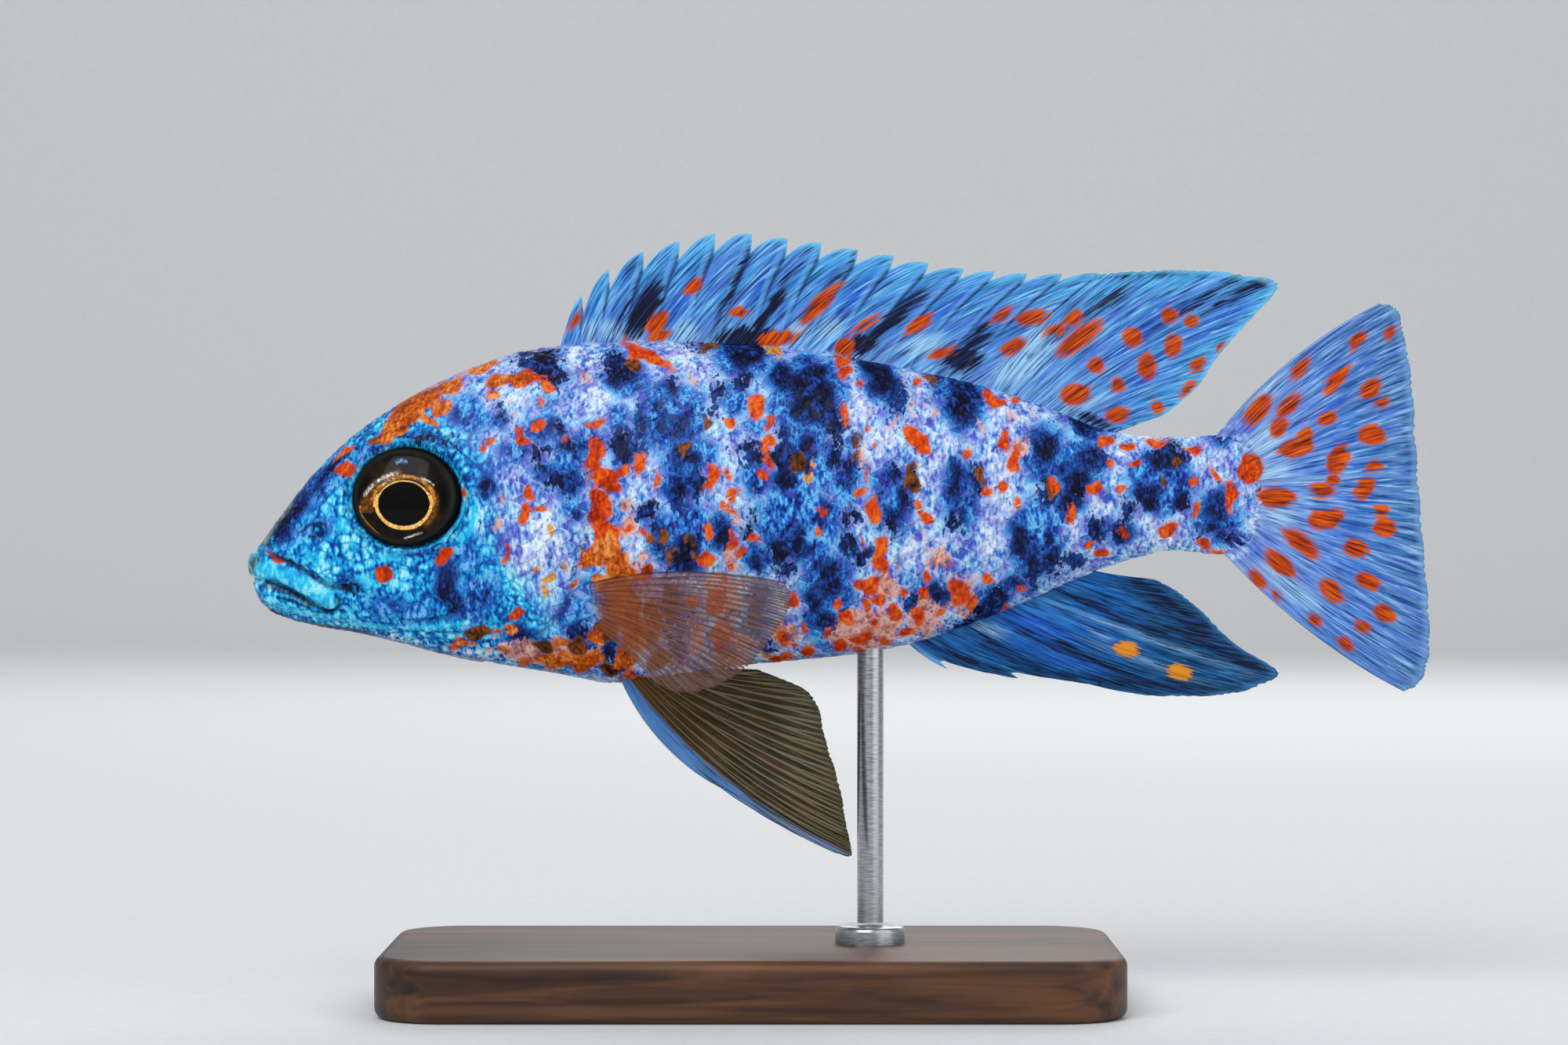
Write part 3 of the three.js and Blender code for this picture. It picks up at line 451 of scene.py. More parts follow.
# Pink and salmon, where orange is thin over pale skin
PINK_MARKS = [
    (38.5, 54.8, 3.2, 1, -38), (51, 53.8, 2.4, 0.8, -45), (29.2, 40.5, 1, 1.8), (28.7, 37.5, 1, 1.4),
    (44.5, 32.7, 1.6, 2.4), (54.8, 28.5, 3.6, 6.6), (55.8, 23, 5, 4.8), (54.6, 30.4, 4.6, 3.4),
    (51.6, 24.4, 2, 5), (44, 25.8, 4.4, 4, -30), (76.4, 50.3, 0.9, 2.6), (79.1, 50, 0.9, 3),
    (84.1, 48.9, 2.6, 1, -60), (83.2, 46.6, 2, 0.8, 60), (83, 27.3, 2.8, 1.8), (78.2, 25.9, 4, 2.4, 20),
    (78.2, 35.2, 1, 1.8), (80.4, 32.8, 1.4, 3), (89.6, 47.7, 1, 1.8), (90, 49.8, 0.9, 1.5),
    (88, 38.6, 0.9, 1.4), (74.7, 49.7, 0.9, 1.4), (73.8, 49.2, 0.8, 1.4), (75.6, 54, 0.8, 1.8),
    (77.8, 51.6, 0.7, 2), (71.6, 50.4, 1.6, 0.8, -30), (87.7, 49.6, 0.8, 1.6),
    (89.2, 52.6, 2.6, 0.9, -12), (45.8, 33.6, 1.2, 2), (56.2, 38.5, 1.2, 2.6), (43.7, 36.8, 2.6, 3),
    (55.5, 33.6, 2.6, 3.6), (88.8, 46, 2, 3), (70.5, 45.2, 1.4, 3), (43.6, 39.6, 1.8, 2.4),
    (61.8, 24.8, 3.4, 3.6), (79.6, 33.4, 2.8, 2.8), (71, 25.4, 9, 5.4, 5), (77.8, 27.4, 5, 4.4, 15),
    (35, 22.6, 15, 3.4, -7), (82, 29.6, 3.6, 5), (73.6, 30.4, 3, 4), (38.9, 42, 0.8, 3),
    (30.6, 50.2, 0.6, 3.4, 20),
]
YELLOW_MARKS = [
    (61.3, 58.7, 4.6, 1.7, 8), (60.9, 57.4, 1.5, 2.4), (64.7, 43.4, 0.9, 3.4), (59.9, 22.4, 2.4, 0.9),
    (35, 37, 0.9, 1.2), (33.3, 32.3, 1, 1.2), (34.8, 31.4, 1.1, 0.9), (34.2, 30, 1.1, 1.1),
    (36.6, 32.7, 0.8, 1.2), (48, 19.4, 5, 1, 6),
]
NAVY_MARKS = [
    # head
    (23.3, 29.9, 2.2, 4.6, 8), (33.5, 46, 2, 1.4), (33.7, 44.7, 1.4, 2.2), (35.8, 42.3, 2.6, 2, -15),
    (20, 47.3, 4.6, 0.8, -8), (33.8, 56.2, 5, 3.4), (11.6, 30.2, 1.8, 0.9), (27.4, 41.8, 1.2, 1.6),
    (4.9, 38.4, 7.4, 1.7, 53), (9.6, 43.6, 5, 1.2, 46), (29, 50.6, 0.7, 2.2, 30),
    (35.4, 48.6, 1.4, 1.2),
    # front of the trunk
    (42.8, 55.2, 4.2, 3, -35), (57.3, 57.8, 4.6, 5), (52.5, 58.2, 3, 1.2), (56.9, 54, 2, 2.4),
    (49, 53.3, 1.6, 2), (54.2, 52.8, 1.4, 2), (47.7, 49.4, 1.1, 2.6), (50.6, 49.7, 1, 1.6),
    (45.3, 49, 0.9, 4), (42.9, 47, 2, 2.8), (37.4, 46.5, 2, 1.3), (50.6, 45.5, 4, 1.6, -52),
    (49.7, 41, 1.8, 4.2), (53.3, 50.3, 1.2, 1.8), (46, 38.9, 2.6, 1.9), (58, 46.3, 3.2, 1.4),
    (61.8, 47.6, 1.4, 2), (64.5, 46.8, 1.4, 2.2), (64.8, 52.3, 5, 6.8), (67.5, 47, 1.4, 2.6),
    (54.5, 36.3, 1.9, 3.8), (50.3, 34, 3, 4.8), (57.8, 37, 1.4, 2.6), (47.6, 35.4, 1.4, 3),
    # behind the pectoral fin and under it
    (48.6, 28, 2.2, 7.4), (58.2, 27.2, 1.3, 5.6), (49.4, 23, 2.6, 2.6), (63.3, 35.5, 1.4, 2.6),
    (60.5, 35, 1.2, 2), (62, 32.5, 1.4, 2.2), (41.6, 22.8, 1.8, 2.4), (38, 25, 2.6, 2),
    (59.4, 23.4, 1.2, 1.6),
    # middle of the trunk
    (73, 54, 8, 2.4, -63), (82.3, 52.3, 3.6, 6.4), (82.7, 56, 3.6, 2.4), (75.2, 52.5, 1.2, 2),
    (69.2, 43.6, 1.3, 3), (69.3, 38.2, 1.5, 2.2), (74.4, 43.6, 1.1, 1.5), (75.6, 40.2, 1.4, 2.4),
    (74, 37.6, 1.6, 2.8), (81.5, 42.6, 1.4, 3.8), (83.9, 42.6, 1.5, 3.2), (81.5, 38, 2, 3),
    (66.8, 50.4, 2, 3.6), (66.8, 31, 2.6, 4.4), (65.2, 28.5, 1.8, 3), (66.5, 26.3, 2, 2.4),
    (69, 35.3, 1.8, 2.6), (76.4, 28.6, 1.3, 1.6), (79.4, 29.5, 2, 2.4), (72.6, 40, 1, 2.4),
    (70.6, 57.2, 3.4, 2.2), (78.9, 54.4, 1.8, 1.6, -30),
    # rear of the trunk
    (91.8, 46.2, 2.8, 3.8), (92, 41, 1.8, 3), (84.8, 27.2, 2.8, 2.6), (86.3, 29.3, 1.6, 2.4),
    (88.8, 35.5, 1.8, 3), (90.3, 32.5, 1.6, 4), (92.5, 33.2, 1.8, 2.8), (82.5, 25.8, 3.6, 1.2, 12),
    (96, 49.2, 5, 1.8, -35), (94, 44, 1.6, 1.6),
    # tail stalk
    (96.7, 44.9, 3.4, 2.4), (95.3, 42, 2.6, 3.8), (105.8, 45.3, 4.2, 3), (103.6, 40.7, 2.8, 3),
    (101.3, 39.2, 1.6, 2), (107.5, 40, 1.6, 2), (111.3, 39.3, 2.4, 3.4), (97.5, 37, 1.8, 2.6),
    (95, 33.2, 2, 1.8), (113, 36, 3, 1.6, -35), (110.8, 36.8, 2.6, 1.6), (112.4, 48, 2, 1.4, 20),
    # darkest parts of the bars
    (43.4, 45.6, 2.2, 3), (61.4, 45.4, 2.8, 3.2), (51.8, 42.4, 1.6, 3.4), (34.8, 54.6, 3.8, 2.8),
    (70.7, 33.7, 1.8, 2.4), (67.5, 45.2, 2, 2.6), (61.4, 54.6, 2, 2.8), (37.3, 42.3, 1.6, 2.2),
    (67.7, 48.8, 2.2, 2.8), (61.7, 42.5, 1.8, 2.4), (58.4, 45.2, 2.6, 2), (94.4, 39.7, 2.2, 2.8),
    (100.4, 36.6, 2, 1.8), (61.3, 33.8, 2.4, 3.2), (49.4, 48.6, 1.8, 2.4), (88.6, 30.6, 1.6, 1.4),
    (58.6, 33.2, 1.4, 2), (31.4, 24.8, 2.4, 1.2), (49.7, 45.4, 1.6, 2.2), (97.4, 45.4, 2.6, 2.4),
    (46.8, 37, 1.4, 1.6),
]
# Bright and royal blue
BLUE_MARKS = [
    (25.3, 50.3, 5, 4.4), (15, 45.9, 6, 2.6, 12), (36.8, 45, 4, 6), (26.6, 29.8, 5, 4),
    (16.5, 27.9, 6, 2), (25.8, 34, 2, 4), (23.3, 30.8, 3.4, 6.4, 8), (7.4, 40.8, 11, 3, 48),
    (27.4, 42, 2.2, 3.2), (8, 36.8, 4.6, 2.4, 12), (43.6, 54.4, 6, 5, -35), (48.6, 50, 8, 9, -50),
    (49.8, 43.4, 4.6, 9), (50.6, 35.6, 7, 9), (57, 57, 7, 6), (56.4, 51.8, 4.4, 3.6), (64.4, 52, 9, 11),
    (64.4, 45, 7, 8), (63.4, 37.6, 10, 9), (66.6, 29.4, 6, 14), (50, 27.4, 3.4, 7),
    (59, 27.4, 2.6, 7.4), (72.8, 54.6, 10, 4.6, -63), (82.2, 52.6, 6.6, 9.6), (82, 41, 4.8, 9),
    (74, 40.4, 5.6, 8.4), (69, 43, 4, 7), (91.8, 45.6, 6, 7.4), (90.6, 35.8, 6.6, 10),
    (95.8, 44.2, 6.6, 7), (96.4, 48.8, 6.6, 3, -35), (105, 42.4, 8, 8), (98.2, 37, 4.2, 2.6),
    (78.6, 29.2, 5.2, 4.6), (85.6, 28.2, 5, 5), (112.6, 48.2, 5, 3.2, 25), (111.6, 38.4, 5.6, 7),
    (113.6, 35.2, 5.6, 3.4, -40), (40, 23.4, 6, 4.6), (40.6, 29.4, 2.6, 6, 60), (47.6, 36, 4, 6),
    (54.4, 36.4, 4, 6), (34, 48.6, 5, 3), (43.5, 45.6, 3.6, 4.6), (52.4, 45.6, 3.6, 4),
    (37.6, 27.4, 4, 4), (58.4, 33.6, 3.8, 3.8), (31, 24.8, 5, 2.4), (88.6, 30.8, 4, 3),
    (37.2, 42.2, 4, 5), (37.4, 39, 2.6, 3), (58.4, 42.8, 3.4, 4), (61.6, 42.6, 3.6, 4),
    (94.4, 40, 4, 4), (100.6, 36.6, 3.4, 2.8), (4.6, 36.4, 3.4, 2.4, 50), (61.4, 54.6, 4, 4),
    (70.6, 34, 2.6, 3), (58.6, 48.6, 2.4, 2.4), (34.4, 51.6, 2.6, 1.4), (25.6, 27.4, 4, 3),
    (19.6, 27.4, 4, 2.4), (39.4, 47, 4, 4), (31, 46, 4, 2.4), (28.6, 49.4, 4, 2.4, 20),
    (42.6, 49.4, 3, 4), (34.6, 43.6, 4, 2.4),
]
# White, lilac and ice blue
PALE_MARKS = [
    (40, 51.8, 5, 3.6), (49.7, 57.9, 4, 2), (51, 51.8, 3, 2.4), (54, 46.6, 3.4, 2.4),
    (53.6, 55.6, 5, 2.6), (38, 57, 3.6, 2.4, -20), (30, 51.8, 4, 1.4), (25.6, 52.4, 4, 1.2, 25),
    (34, 35.4, 4.6, 8), (26.4, 38, 1.8, 5), (29.6, 43, 3, 1.6), (43.4, 51.4, 4, 3.4),
    (46.6, 53.4, 2.4, 3), (57.6, 48.4, 2, 2.4), (45.4, 35, 2, 4.4), (55, 32.2, 2.6, 2.4),
    (63, 57.4, 5.4, 2.6), (66, 55.6, 3, 2), (70.6, 50.8, 4, 6), (73, 46.6, 3.6, 3.4),
    (78.9, 42.5, 3, 6), (55.4, 54.8, 2.6, 2), (85.8, 38.8, 4.8, 6.6), (46.6, 42.6, 2.4, 3.4),
    (31.6, 33.8, 3, 4), (87.2, 44.6, 5, 6), (80.5, 47.2, 3, 3), (77, 51.6, 4, 4), (87, 50.4, 5.4, 3.6),
    (77.6, 56.2, 5, 1.6, -5), (100.4, 43.6, 3, 3), (105.4, 37, 5.4, 4.6), (98.2, 39.8, 4, 3.4),
    (91.4, 49.4, 2.6, 1.8), (110, 43.6, 4, 2.8), (101, 46, 5.4, 2.2), (78.6, 34, 6, 3.6),
    (84.4, 34.6, 3.4, 4), (76, 34.6, 2.4, 4.6), (63, 26.8, 4.6, 5.6), (70.2, 27.6, 2.4, 3),
    (94.8, 36.4, 3, 3), (114, 42.4, 3.4, 5), (112.4, 45.4, 3, 3), (88.6, 46.2, 3, 4),
    (98.6, 36.4, 2.4, 2.4), (65.4, 43.6, 1, 3), (61.6, 40, 2.4, 5), (93.6, 46.6, 1.4, 3),
    (38.3, 34.6, 1, 5, 10), (44, 40, 2.6, 3), (48.5, 44.4, 1, 3), (80, 26.8, 3, 1.2, 15),
    (17, 24, 10, 1.8, -14), (26, 22.4, 9, 1.6, -10),
]
# Each colour's name and marks, and the width in millimetres over which it comes in at its outlines
BODY_MARKS = [
    ("pale", PALE_MARKS, 2.4), ("blue", BLUE_MARKS, 2.4), ("navy", NAVY_MARKS, 2),
    ("pink", PINK_MARKS, 1.1), ("brown", BROWN_MARKS, 1.1), ("yellow", YELLOW_MARKS, 1.1),
    ("orange", ORANGE_MARKS, 0.9),
]


def mark_strength(marks, edge, fore, up):
    """From 0 outside the marks to 1 inside, and 0.5 on their outlines."""
    strength = np.zeros_like(fore)
    for mark in marks:
        at_fore, at_up, length, width, lean = (*mark, 0)[:5]
        near = np.abs(fore - at_fore) + np.abs(up - at_up) < length + width + 2 * edge
        along, across = turned(fore[near] - at_fore, up[near] - at_up, -math.radians(lean))
        depth = (1 - np.hypot(2 * along / length, 2 * across / width)) * min(length, width) / 2
        strength[near] = np.maximum(strength[near], np.clip(0.5 + depth / edge, 0, 1))
    return strength


def wobble(fore, up):
    """Moves places by up to about half a millimetre, so that no mark is a plain oval."""
    first = 0.24 * np.sin(1.9 * up + 2.1 * np.sin(0.9 * fore)) + 0.14 * np.sin(3.1 * fore + 1.3 * up)
    second = 0.24 * np.sin(1.7 * fore + 1.8 * np.sin(0.8 * up)) + 0.14 * np.sin(2.9 * up - 1.7 * fore)
    return fore + first, up + second


def markings(fore, turn, up):
    """Strengths of each colour over the body. The right side has the same markings, shifted."""
    shift = smooth_step(0.1, 0.5, np.sin(turn)) * smooth_step(24, 40, fore)
    moved_fore = fore + shift * (1.6 * np.sin(0.31 * up + 0.5) + 1.2 * np.sin(0.17 * fore + 2))
    moved_up = up + shift * (1.3 * np.sin(0.23 * fore) + 0.8 * np.sin(0.4 * up + 1))
    places = wobble(moved_fore, moved_up)
    strengths = {name: mark_strength(marks, edge, *places) for name, marks, edge in BODY_MARKS}
    strengths["rust"] = strengths["orange"] * mark_strength(RUST_PATCHES, 3, *places)
    face = fore < HEAD_END
    for name, strokes in FACE_STROKES:
        strengths[name] = np.zeros_like(fore)
        strengths[name][face] = strongest(strokes, fore[face], up[face])
    # The middle of the raised upper lip is brighter: partly its cyan, partly a painted highlight
    lip = 0.9 * lip_share(fore[face], up[face]) ** 0.7
    strengths["bright"][face] = np.maximum(strengths["bright"][face], lip)
    # Painted shade at the eye's opening and a painted shadow round it, with a bright ring between
    beyond = (oval_share(EYE, fore, up) - 1) * EYE["high"]
    for name, place, width, most in EYE_RINGS:
        strengths[name] = np.maximum(strengths[name], most * bell((beyond - place) / width))
    return strengths


def head_share(fore, up):
    """1 on the bare skin of the face, 0 on the scaled body."""
    line = between(FACE_END, up)
    return smooth_step(line + 6, line - 6, fore)


# Meshes
def new_piece(name, add, **settings):
    """A primitive from which a piece is made."""
    bpy.ops.object.select_all(action="DESELECT")
    add(**settings)
    piece = bpy.context.object
    piece.name = name
    return piece


def points_of(piece):
    """The points of a piece's mesh, one to a row."""
    points = np.empty(len(piece.data.vertices) * 3)
    piece.data.vertices.foreach_get("co", points)
    return points.reshape(-1, 3)


def move_points(piece, points):
    piece.data.vertices.foreach_set("co", np.asarray(points, float).ravel())
    piece.data.update()


def store(piece, name, values):
    """A number for each point of the mesh, which materials read by its name."""
    attribute = piece.data.attributes.new(name, "FLOAT", "POINT")
    attribute.data.foreach_set("value", np.asarray(values, np.float32).ravel())


def store_map(piece, name, across, along):
    """A UV map from two numbers for each point of the mesh."""
    corners = np.empty(len(piece.data.loops), np.int32)
    piece.data.loops.foreach_get("vertex_index", corners)
    layer = piece.data.uv_layers.get(name) or piece.data.uv_layers.new(name=name)
    layer.data.foreach_set("uv", np.stack([across[corners], along[corners]], -1).ravel())


def face_outward():
    """Turns all faces of the active piece outward and shades them smooth."""
    bpy.ops.object.mode_set(mode="EDIT")
    bpy.ops.mesh.select_all(action="SELECT")
    bpy.ops.mesh.normals_make_consistent(inside=False)
    bpy.ops.object.mode_set(mode="OBJECT")
    bpy.ops.object.shade_smooth()


def store_markings(piece, points, turn):
    """Stores the strengths of all colours at the points of a mesh."""
    fore, up = seen(points)
    for name, strength in markings(fore, turn, up).items():
        store(piece, name, strength)
    store(piece, "face", head_share(fore, up))


def fish_skin():
    """One closed skin over head, trunk and tail stalk, from a ball with its poles at snout and
    tail, moved ring by ring."""
    skin = new_piece(
        "fish_skin", bpy.ops.mesh.primitive_uv_sphere_add, segments=SKIN_SEGMENTS,
        ring_count=SKIN_RINGS, rotation=(0, math.pi / 2, 0),
    )
    bpy.ops.object.transform_apply(location=False, rotation=True, scale=False)
    x, y, z = points_of(skin).T
    share = np.arccos(np.clip(-x / np.linalg.norm([x, y, z], axis=0), -1, 1)) / np.pi
    fore = between(RING_PLACES, share)
    turn = np.arctan2(y, z)
    points = skin_point(fore, turn)
    move_points(skin, placed(points))
    store_markings(skin, points, turn)
    skin.data.uv_layers[0].name = "OFBake"
    face_outward()
    return skin


# Scales: the pitch along the fish and between rows, in millimetres, at [fore, pitch]
SCALE_PITCH = [[20, 1.7], [30, 1.9], [42, 2.4], [85, 2.3], [118, 1.7]]
ROW_PITCH = [[20, 1.9], [30, 2.1], [42, 2.6], [85, 2.4], [118, 1.7]]
SCALES_START, SCALES_END = 22.0, BODY_LENGTH - 3.5
MOST_ROWS = 24
# A scale's length in pitches and half width in rows, how far its rear corners are rounded off, and
# the shares of length and width at which it has points
SCALE_OVERLAP = 1.75
SCALE_HALF_WIDTH = 0.56
SCALE_ROUNDING = 0.42
SCALE_ALONG = [0, 0.4, 0.53, 0.66, 0.78, 0.9, 1, 1]
SCALE_ACROSS = [-1, -0.97, -0.65, -0.3, 0, 0.3, 0.65, 0.97, 1]
# Heights over the skin of a scale's root, its rear edge and the rim that is sunk into the skin, and
# how far its sides droop, in millimetres
SCALE_ROOT, SCALE_EDGE, SCALE_SUNK = -0.24, 0.15, -0.2
SCALE_DROOP = 0.07
# How much scales differ in size and tilt, and the size of each one's patch on the UV map
SIZE_SPREAD, TILT_SPREAD = 0.07, 0.03
PATCH = 0.003
# The table of turns by arc: its rows along the fish, its steps of arc, and the steps of each ring
TABLE_ROWS, TABLE_STEPS, RING_STEPS = 236, 161, 241


def turn_table():
    """Turns by arc length: rows of fore places, each with the turn at even steps of arc from the
    back to the flank (-1 to 0) and on to the belly (0 to 1), and the two lengths of arc."""
    fores = np.linspace(0.5, BODY_LENGTH - 0.5, TABLE_ROWS)
    steps = np.linspace(-1, 1, TABLE_STEPS)
    turns = np.linspace(0, np.pi, RING_STEPS)
    table, lengths = [], []
    for fore in fores:
        ring = body_point(np.full(turns.shape, fore), turns)
        arc = np.append(0, np.cumsum(np.linalg.norm(np.diff(ring, axis=0), axis=1)))
        arc -= np.interp(np.pi / 2, turns, arc)
        upper, lower = -arc[0], arc[-1]
        at = np.where(steps < 0, steps * upper, steps * lower)
        table.append(np.interp(at, arc, turns))
        lengths.append((upper, lower))
    return fores, steps, np.array(table), np.array(lengths)


def turn_at(table, fore, arc):
    """The turn at a signed arc length from the flank, down being positive."""
    fores, steps, turns, lengths = table
    upper, lower = (np.interp(fore, fores, lengths[:, k]) for k in range(2))
    share = np.clip(np.where(arc < 0, arc / upper, arc / lower), -1, 1)
    row = np.clip((fore - fores[0]) / (fores[1] - fores[0]), 0, len(fores) - 1.001)
    column = (share + 1) / 2 * (len(steps) - 1.001)
    i, j = row.astype(int), column.astype(int)
    a, b = row - i, column - j
    near = turns[i, j] * (1 - b) + turns[i, j + 1] * b
    far = turns[i + 1, j] * (1 - b) + turns[i + 1, j + 1] * b
    return near * (1 - a) + far * a


def scale_places(table):
    """Where scales root on one side, as fore and arc: rows that follow the flank, each column half
    a row off its neighbours, over all that isn't bare face, throat or fin base."""
    places = []
    fore, column = SCALES_START, 0
    while fore < SCALES_END:
        row_pitch = between(ROW_PITCH, fore)
        upper, lower = (np.interp(fore, table[0], table[3][:, k]) for k in range(2))
        for row in range(-MOST_ROWS, MOST_ROWS + 1):
            arc = (row + 0.5 * (column % 2)) * row_pitch
            if -upper + 0.5 < arc < lower - 0.5:
                places.append((fore, arc))
        fore += between(SCALE_PITCH, fore) / 2
        column += 1
    fore, arc = np.array(places).T
    shown_fore, shown_up = seen(body_point(fore, turn_at(table, fore, arc)))
    gill, _, side = distance_to(GILL_LINE, shown_fore, shown_up)
    clear = head_share(shown_fore, shown_up) < 0.5
    clear &= oval_share(EYE, shown_fore, shown_up) > 1.5
    clear &= (gill > 0.5) | (shown_up > 48.5)
    throat = (shown_up < 26.4) & (side < 0)
    return fore[clear & ~throat], arc[clear & ~throat]


def scale_coat(side, table):
    """All scales of one side as one mesh. One small plate is copied by an array, and each copy is
    laid over the skin, sunk at its root under the scales ahead of it, with a rounded rear edge
    that stands clear."""
    rng = np.random.default_rng(SEED)
    root_fore, root_arc = scale_places(table)
    count = len(root_fore)
    coat = new_piece(
        "scales_right" if side > 0 else "scales_left", bpy.ops.mesh.primitive_grid_add,
        x_subdivisions=len(SCALE_ALONG) - 1, y_subdivisions=len(SCALE_ACROSS) - 1, size=2,
    )
    x, y, _ = points_of(coat).T
    step = np.round((x + 1) / 2 * (len(SCALE_ALONG) - 1)).astype(int)
    a = np.array(SCALE_ALONG, float)[step]
    b = np.interp(y * side, np.linspace(-1, 1, len(SCALE_ACROSS)), SCALE_ACROSS)
    array = coat.modifiers.new("copies", "ARRAY")
    array.count = count
    bpy.ops.object.modifier_apply(modifier="copies")
    length = between(SCALE_PITCH, root_fore)[:, None] * SCALE_OVERLAP
    half_row = between(ROW_PITCH, root_fore)[:, None] * SCALE_HALF_WIDTH
    size = 1 + SIZE_SPREAD * rng.standard_normal((count, 1))
    fore = root_fore[:, None] + length * size * a * (1 - SCALE_ROUNDING * b**2)
    arc = root_arc[:, None] + half_row * b * (0.8 + 0.2 * np.sin(np.pi * a)) * size
    sunk = (step == len(SCALE_ALONG) - 1) | (np.abs(b) > 0.99)
    lift = SCALE_EDGE - SCALE_ROOT + TILT_SPREAD * rng.standard_normal((count, 1))
    height = SCALE_ROOT + lift * smooth_step(0, 0.85, a) - SCALE_DROOP * b**2
    height = np.where(sunk, SCALE_SUNK, height).ravel()
    fore, arc = fore.ravel(), arc.ravel()
    turn = turn_at(table, fore, arc) * side
    points = skin_point(fore, turn, height)
    move_points(coat, placed(points))
    store_markings(coat, points, turn)
    store(coat, "tint", np.repeat(rng.uniform(-1, 1, count), len(a)))
    store(coat, "edge", np.tile(np.where(sunk, 0, a), count))
    root_turn = turn_at(table, root_fore, root_arc) * side
    across = np.repeat(root_turn / (2 * np.pi) + 0.5, len(a)) + PATCH * np.tile(b / 2, count)
    along = np.repeat(root_fore / BODY_LENGTH, len(a)) + PATCH * np.tile(a - 0.5, count)
    store_map(coat, "OFBake", across, along)
    bpy.ops.object.shade_smooth()
    return coat


# Materials
def linear(colour):
    """An sRGB hex colour as linear red, green, blue and alpha."""
    channels = [int(colour[i : i + 2], 16) / 255 for i in (1, 3, 5)]
    return [c / 12.92 if c <= 0.04045 else ((c + 0.055) / 1.055) ** 2.4 for c in channels] + [1]


def set_inputs(node, inputs):
    """Gives each input a value, a hex colour or the socket to link."""
    for key, value in inputs.items():
        if isinstance(value, bpy.types.NodeSocket):
            node.id_data.links.new(value, node.inputs[key])
        else:
            node.inputs[key].default_value = linear(value) if isinstance(value, str) else value


def add_node(tree, kind, inputs=None, stops=None, output=0, **settings):
    """Adds a node with its settings and inputs and gives one of its outputs. stops are the
    (position, colour) pairs of a colour ramp."""
    node = tree.nodes.new("ShaderNode" + kind)
    for name, value in settings.items():
        setattr(node, name, value)
    if stops:
        ramp = node.color_ramp
        while len(ramp.elements) < len(stops):
            ramp.elements.new(1)
        for element, (position, colour) in zip(ramp.elements, stops):
            element.position, element.color = position, linear(colour)
    set_inputs(node, inputs or {})
    return node.outputs[output]


def new_material(name, **constants):
    """A material, its shader with these constant values, and the function that adds its nodes."""
    material = bpy.data.materials.new(name)
    material.use_nodes = True
    shader = material.node_tree.nodes["Principled BSDF"]
    set_inputs(shader, {key.replace("_", " "): value for key, value in constants.items()})
    return material, shader, partial(add_node, material.node_tree)


def washed(node, colour, washes, fade="SMOOTHSTEP"):
    """Lays washes of colour over a colour, one after another. Each is what decides where it lies,
    the values at which it starts and is full, the most that it covers, and its colour."""
    for decides, low, high, most, wash in washes:
        share = node(
            "MapRange", {"Value": decides, "From Min": low, "From Max": high, "To Max": most},
            interpolation_type=fade,
        )
        colour = node("MixRGB", {"Fac": share, "Color1": colour, "Color2": wash})
    return colour


def per_metre(millimetres):
    """The scale of a noise whose features are this large."""
    return 1 / (millimetres * MM)


# Tones of the skin from its dark to its bright flecks, as the stops of a colour ramp
# The brightest flecks are partly pale skin and partly painted glitter, a painted highlight
LILAC_TONES = [
    (0.26, "#4452BE"), (0.4, "#6C80D6"), (0.5, "#8CA2E4"), (0.6, "#A8BCEC"), (0.76, "#D4E2F6"),
]
ICE_TONES = [
    (0.26, "#2C5CB8"), (0.4, "#548CD8"), (0.5, "#7AB0E6"), (0.6, "#98CAEE"), (0.76, "#CCECF8"),
]
FOIL_TONES = [
    (0.14, "#06307A"), (0.3, "#0A5EB4"), (0.42, "#1290DA"), (0.54, "#30BCEC"), (0.68, "#70E0F8"),
    (0.86, "#C8FAFF"),
]
# The layers of colour from the lowest: attribute, strengths where it starts and is full, how ragged
# its outline is, and its tones
SKIN_LAYERS = [
    ("pale", 0.45, 0.98, 0.9, [
        (0.26, "#6C7CD0"), (0.4, "#90A0E0"), (0.5, "#A8BCEA"), (0.6, "#BED0F0"), (0.74, "#E4F2FC"),
    ]),
    ("blue", 0.34, 0.66, 1.0, [
        (0.28, "#0C1648"), (0.4, "#163488"), (0.5, "#1A56B2"), (0.6, "#2C80D2"), (0.74, "#6CBCF0"),
    ]),
    # bright is partly the cyan of the face and partly painted highlight on the lips, brow and folds
    ("bright", 0.15, 0.85, 0.1, [
        (0.2, "#1488CC"), (0.42, "#24B8EA"), (0.58, "#44D4F8"), (0.8, "#A8F4FF"),
    ]),
    ("pink", 0.4, 0.95, 1.0, [(0.3, "#A85838"), (0.48, "#CC8468"), (0.66, "#E0B0AC")]),
    ("navy", 0.32, 0.6, 1.05, [
        (0.3, "#04061A"), (0.5, "#080E28"), (0.64, "#10205C"), (0.8, "#1A4698"),
    ]),
    ("brown", 0.38, 0.66, 0.5, [(0.25, "#1E120C"), (0.48, "#56300F"), (0.7, "#8C4A1C")]),
    ("yellow", 0.42, 0.62, 0.5, [(0.25, "#9C500A"), (0.48, "#C8781A"), (0.7, "#E0A448")]),
    ("orange", 0.32, 0.68, 0.42, [
        (0.2, "#8C2202"), (0.4, "#BC3202"), (0.58, "#D44404"), (0.8, "#E46C22"),
    ]),
    ("rust", 0.36, 0.7, 0.42, [
        (0.2, "#6E2A0A"), (0.4, "#AE4A0C"), (0.58, "#CC6416"), (0.8, "#E89A5C"),
    ]),
    ("grey", 0.1, 1.2, 0.1, [(0.25, "#20343C"), (0.48, "#4C6468"), (0.72, "#8CA4A0")]),
    # dark is painted shade: mouth, lip and chin folds, nostril and the rings round the eye
    ("dark", 0.1, 1.2, 0.15, [(0.25, "#030818"), (0.5, "#061838"), (0.8, "#0E3874")]),
]


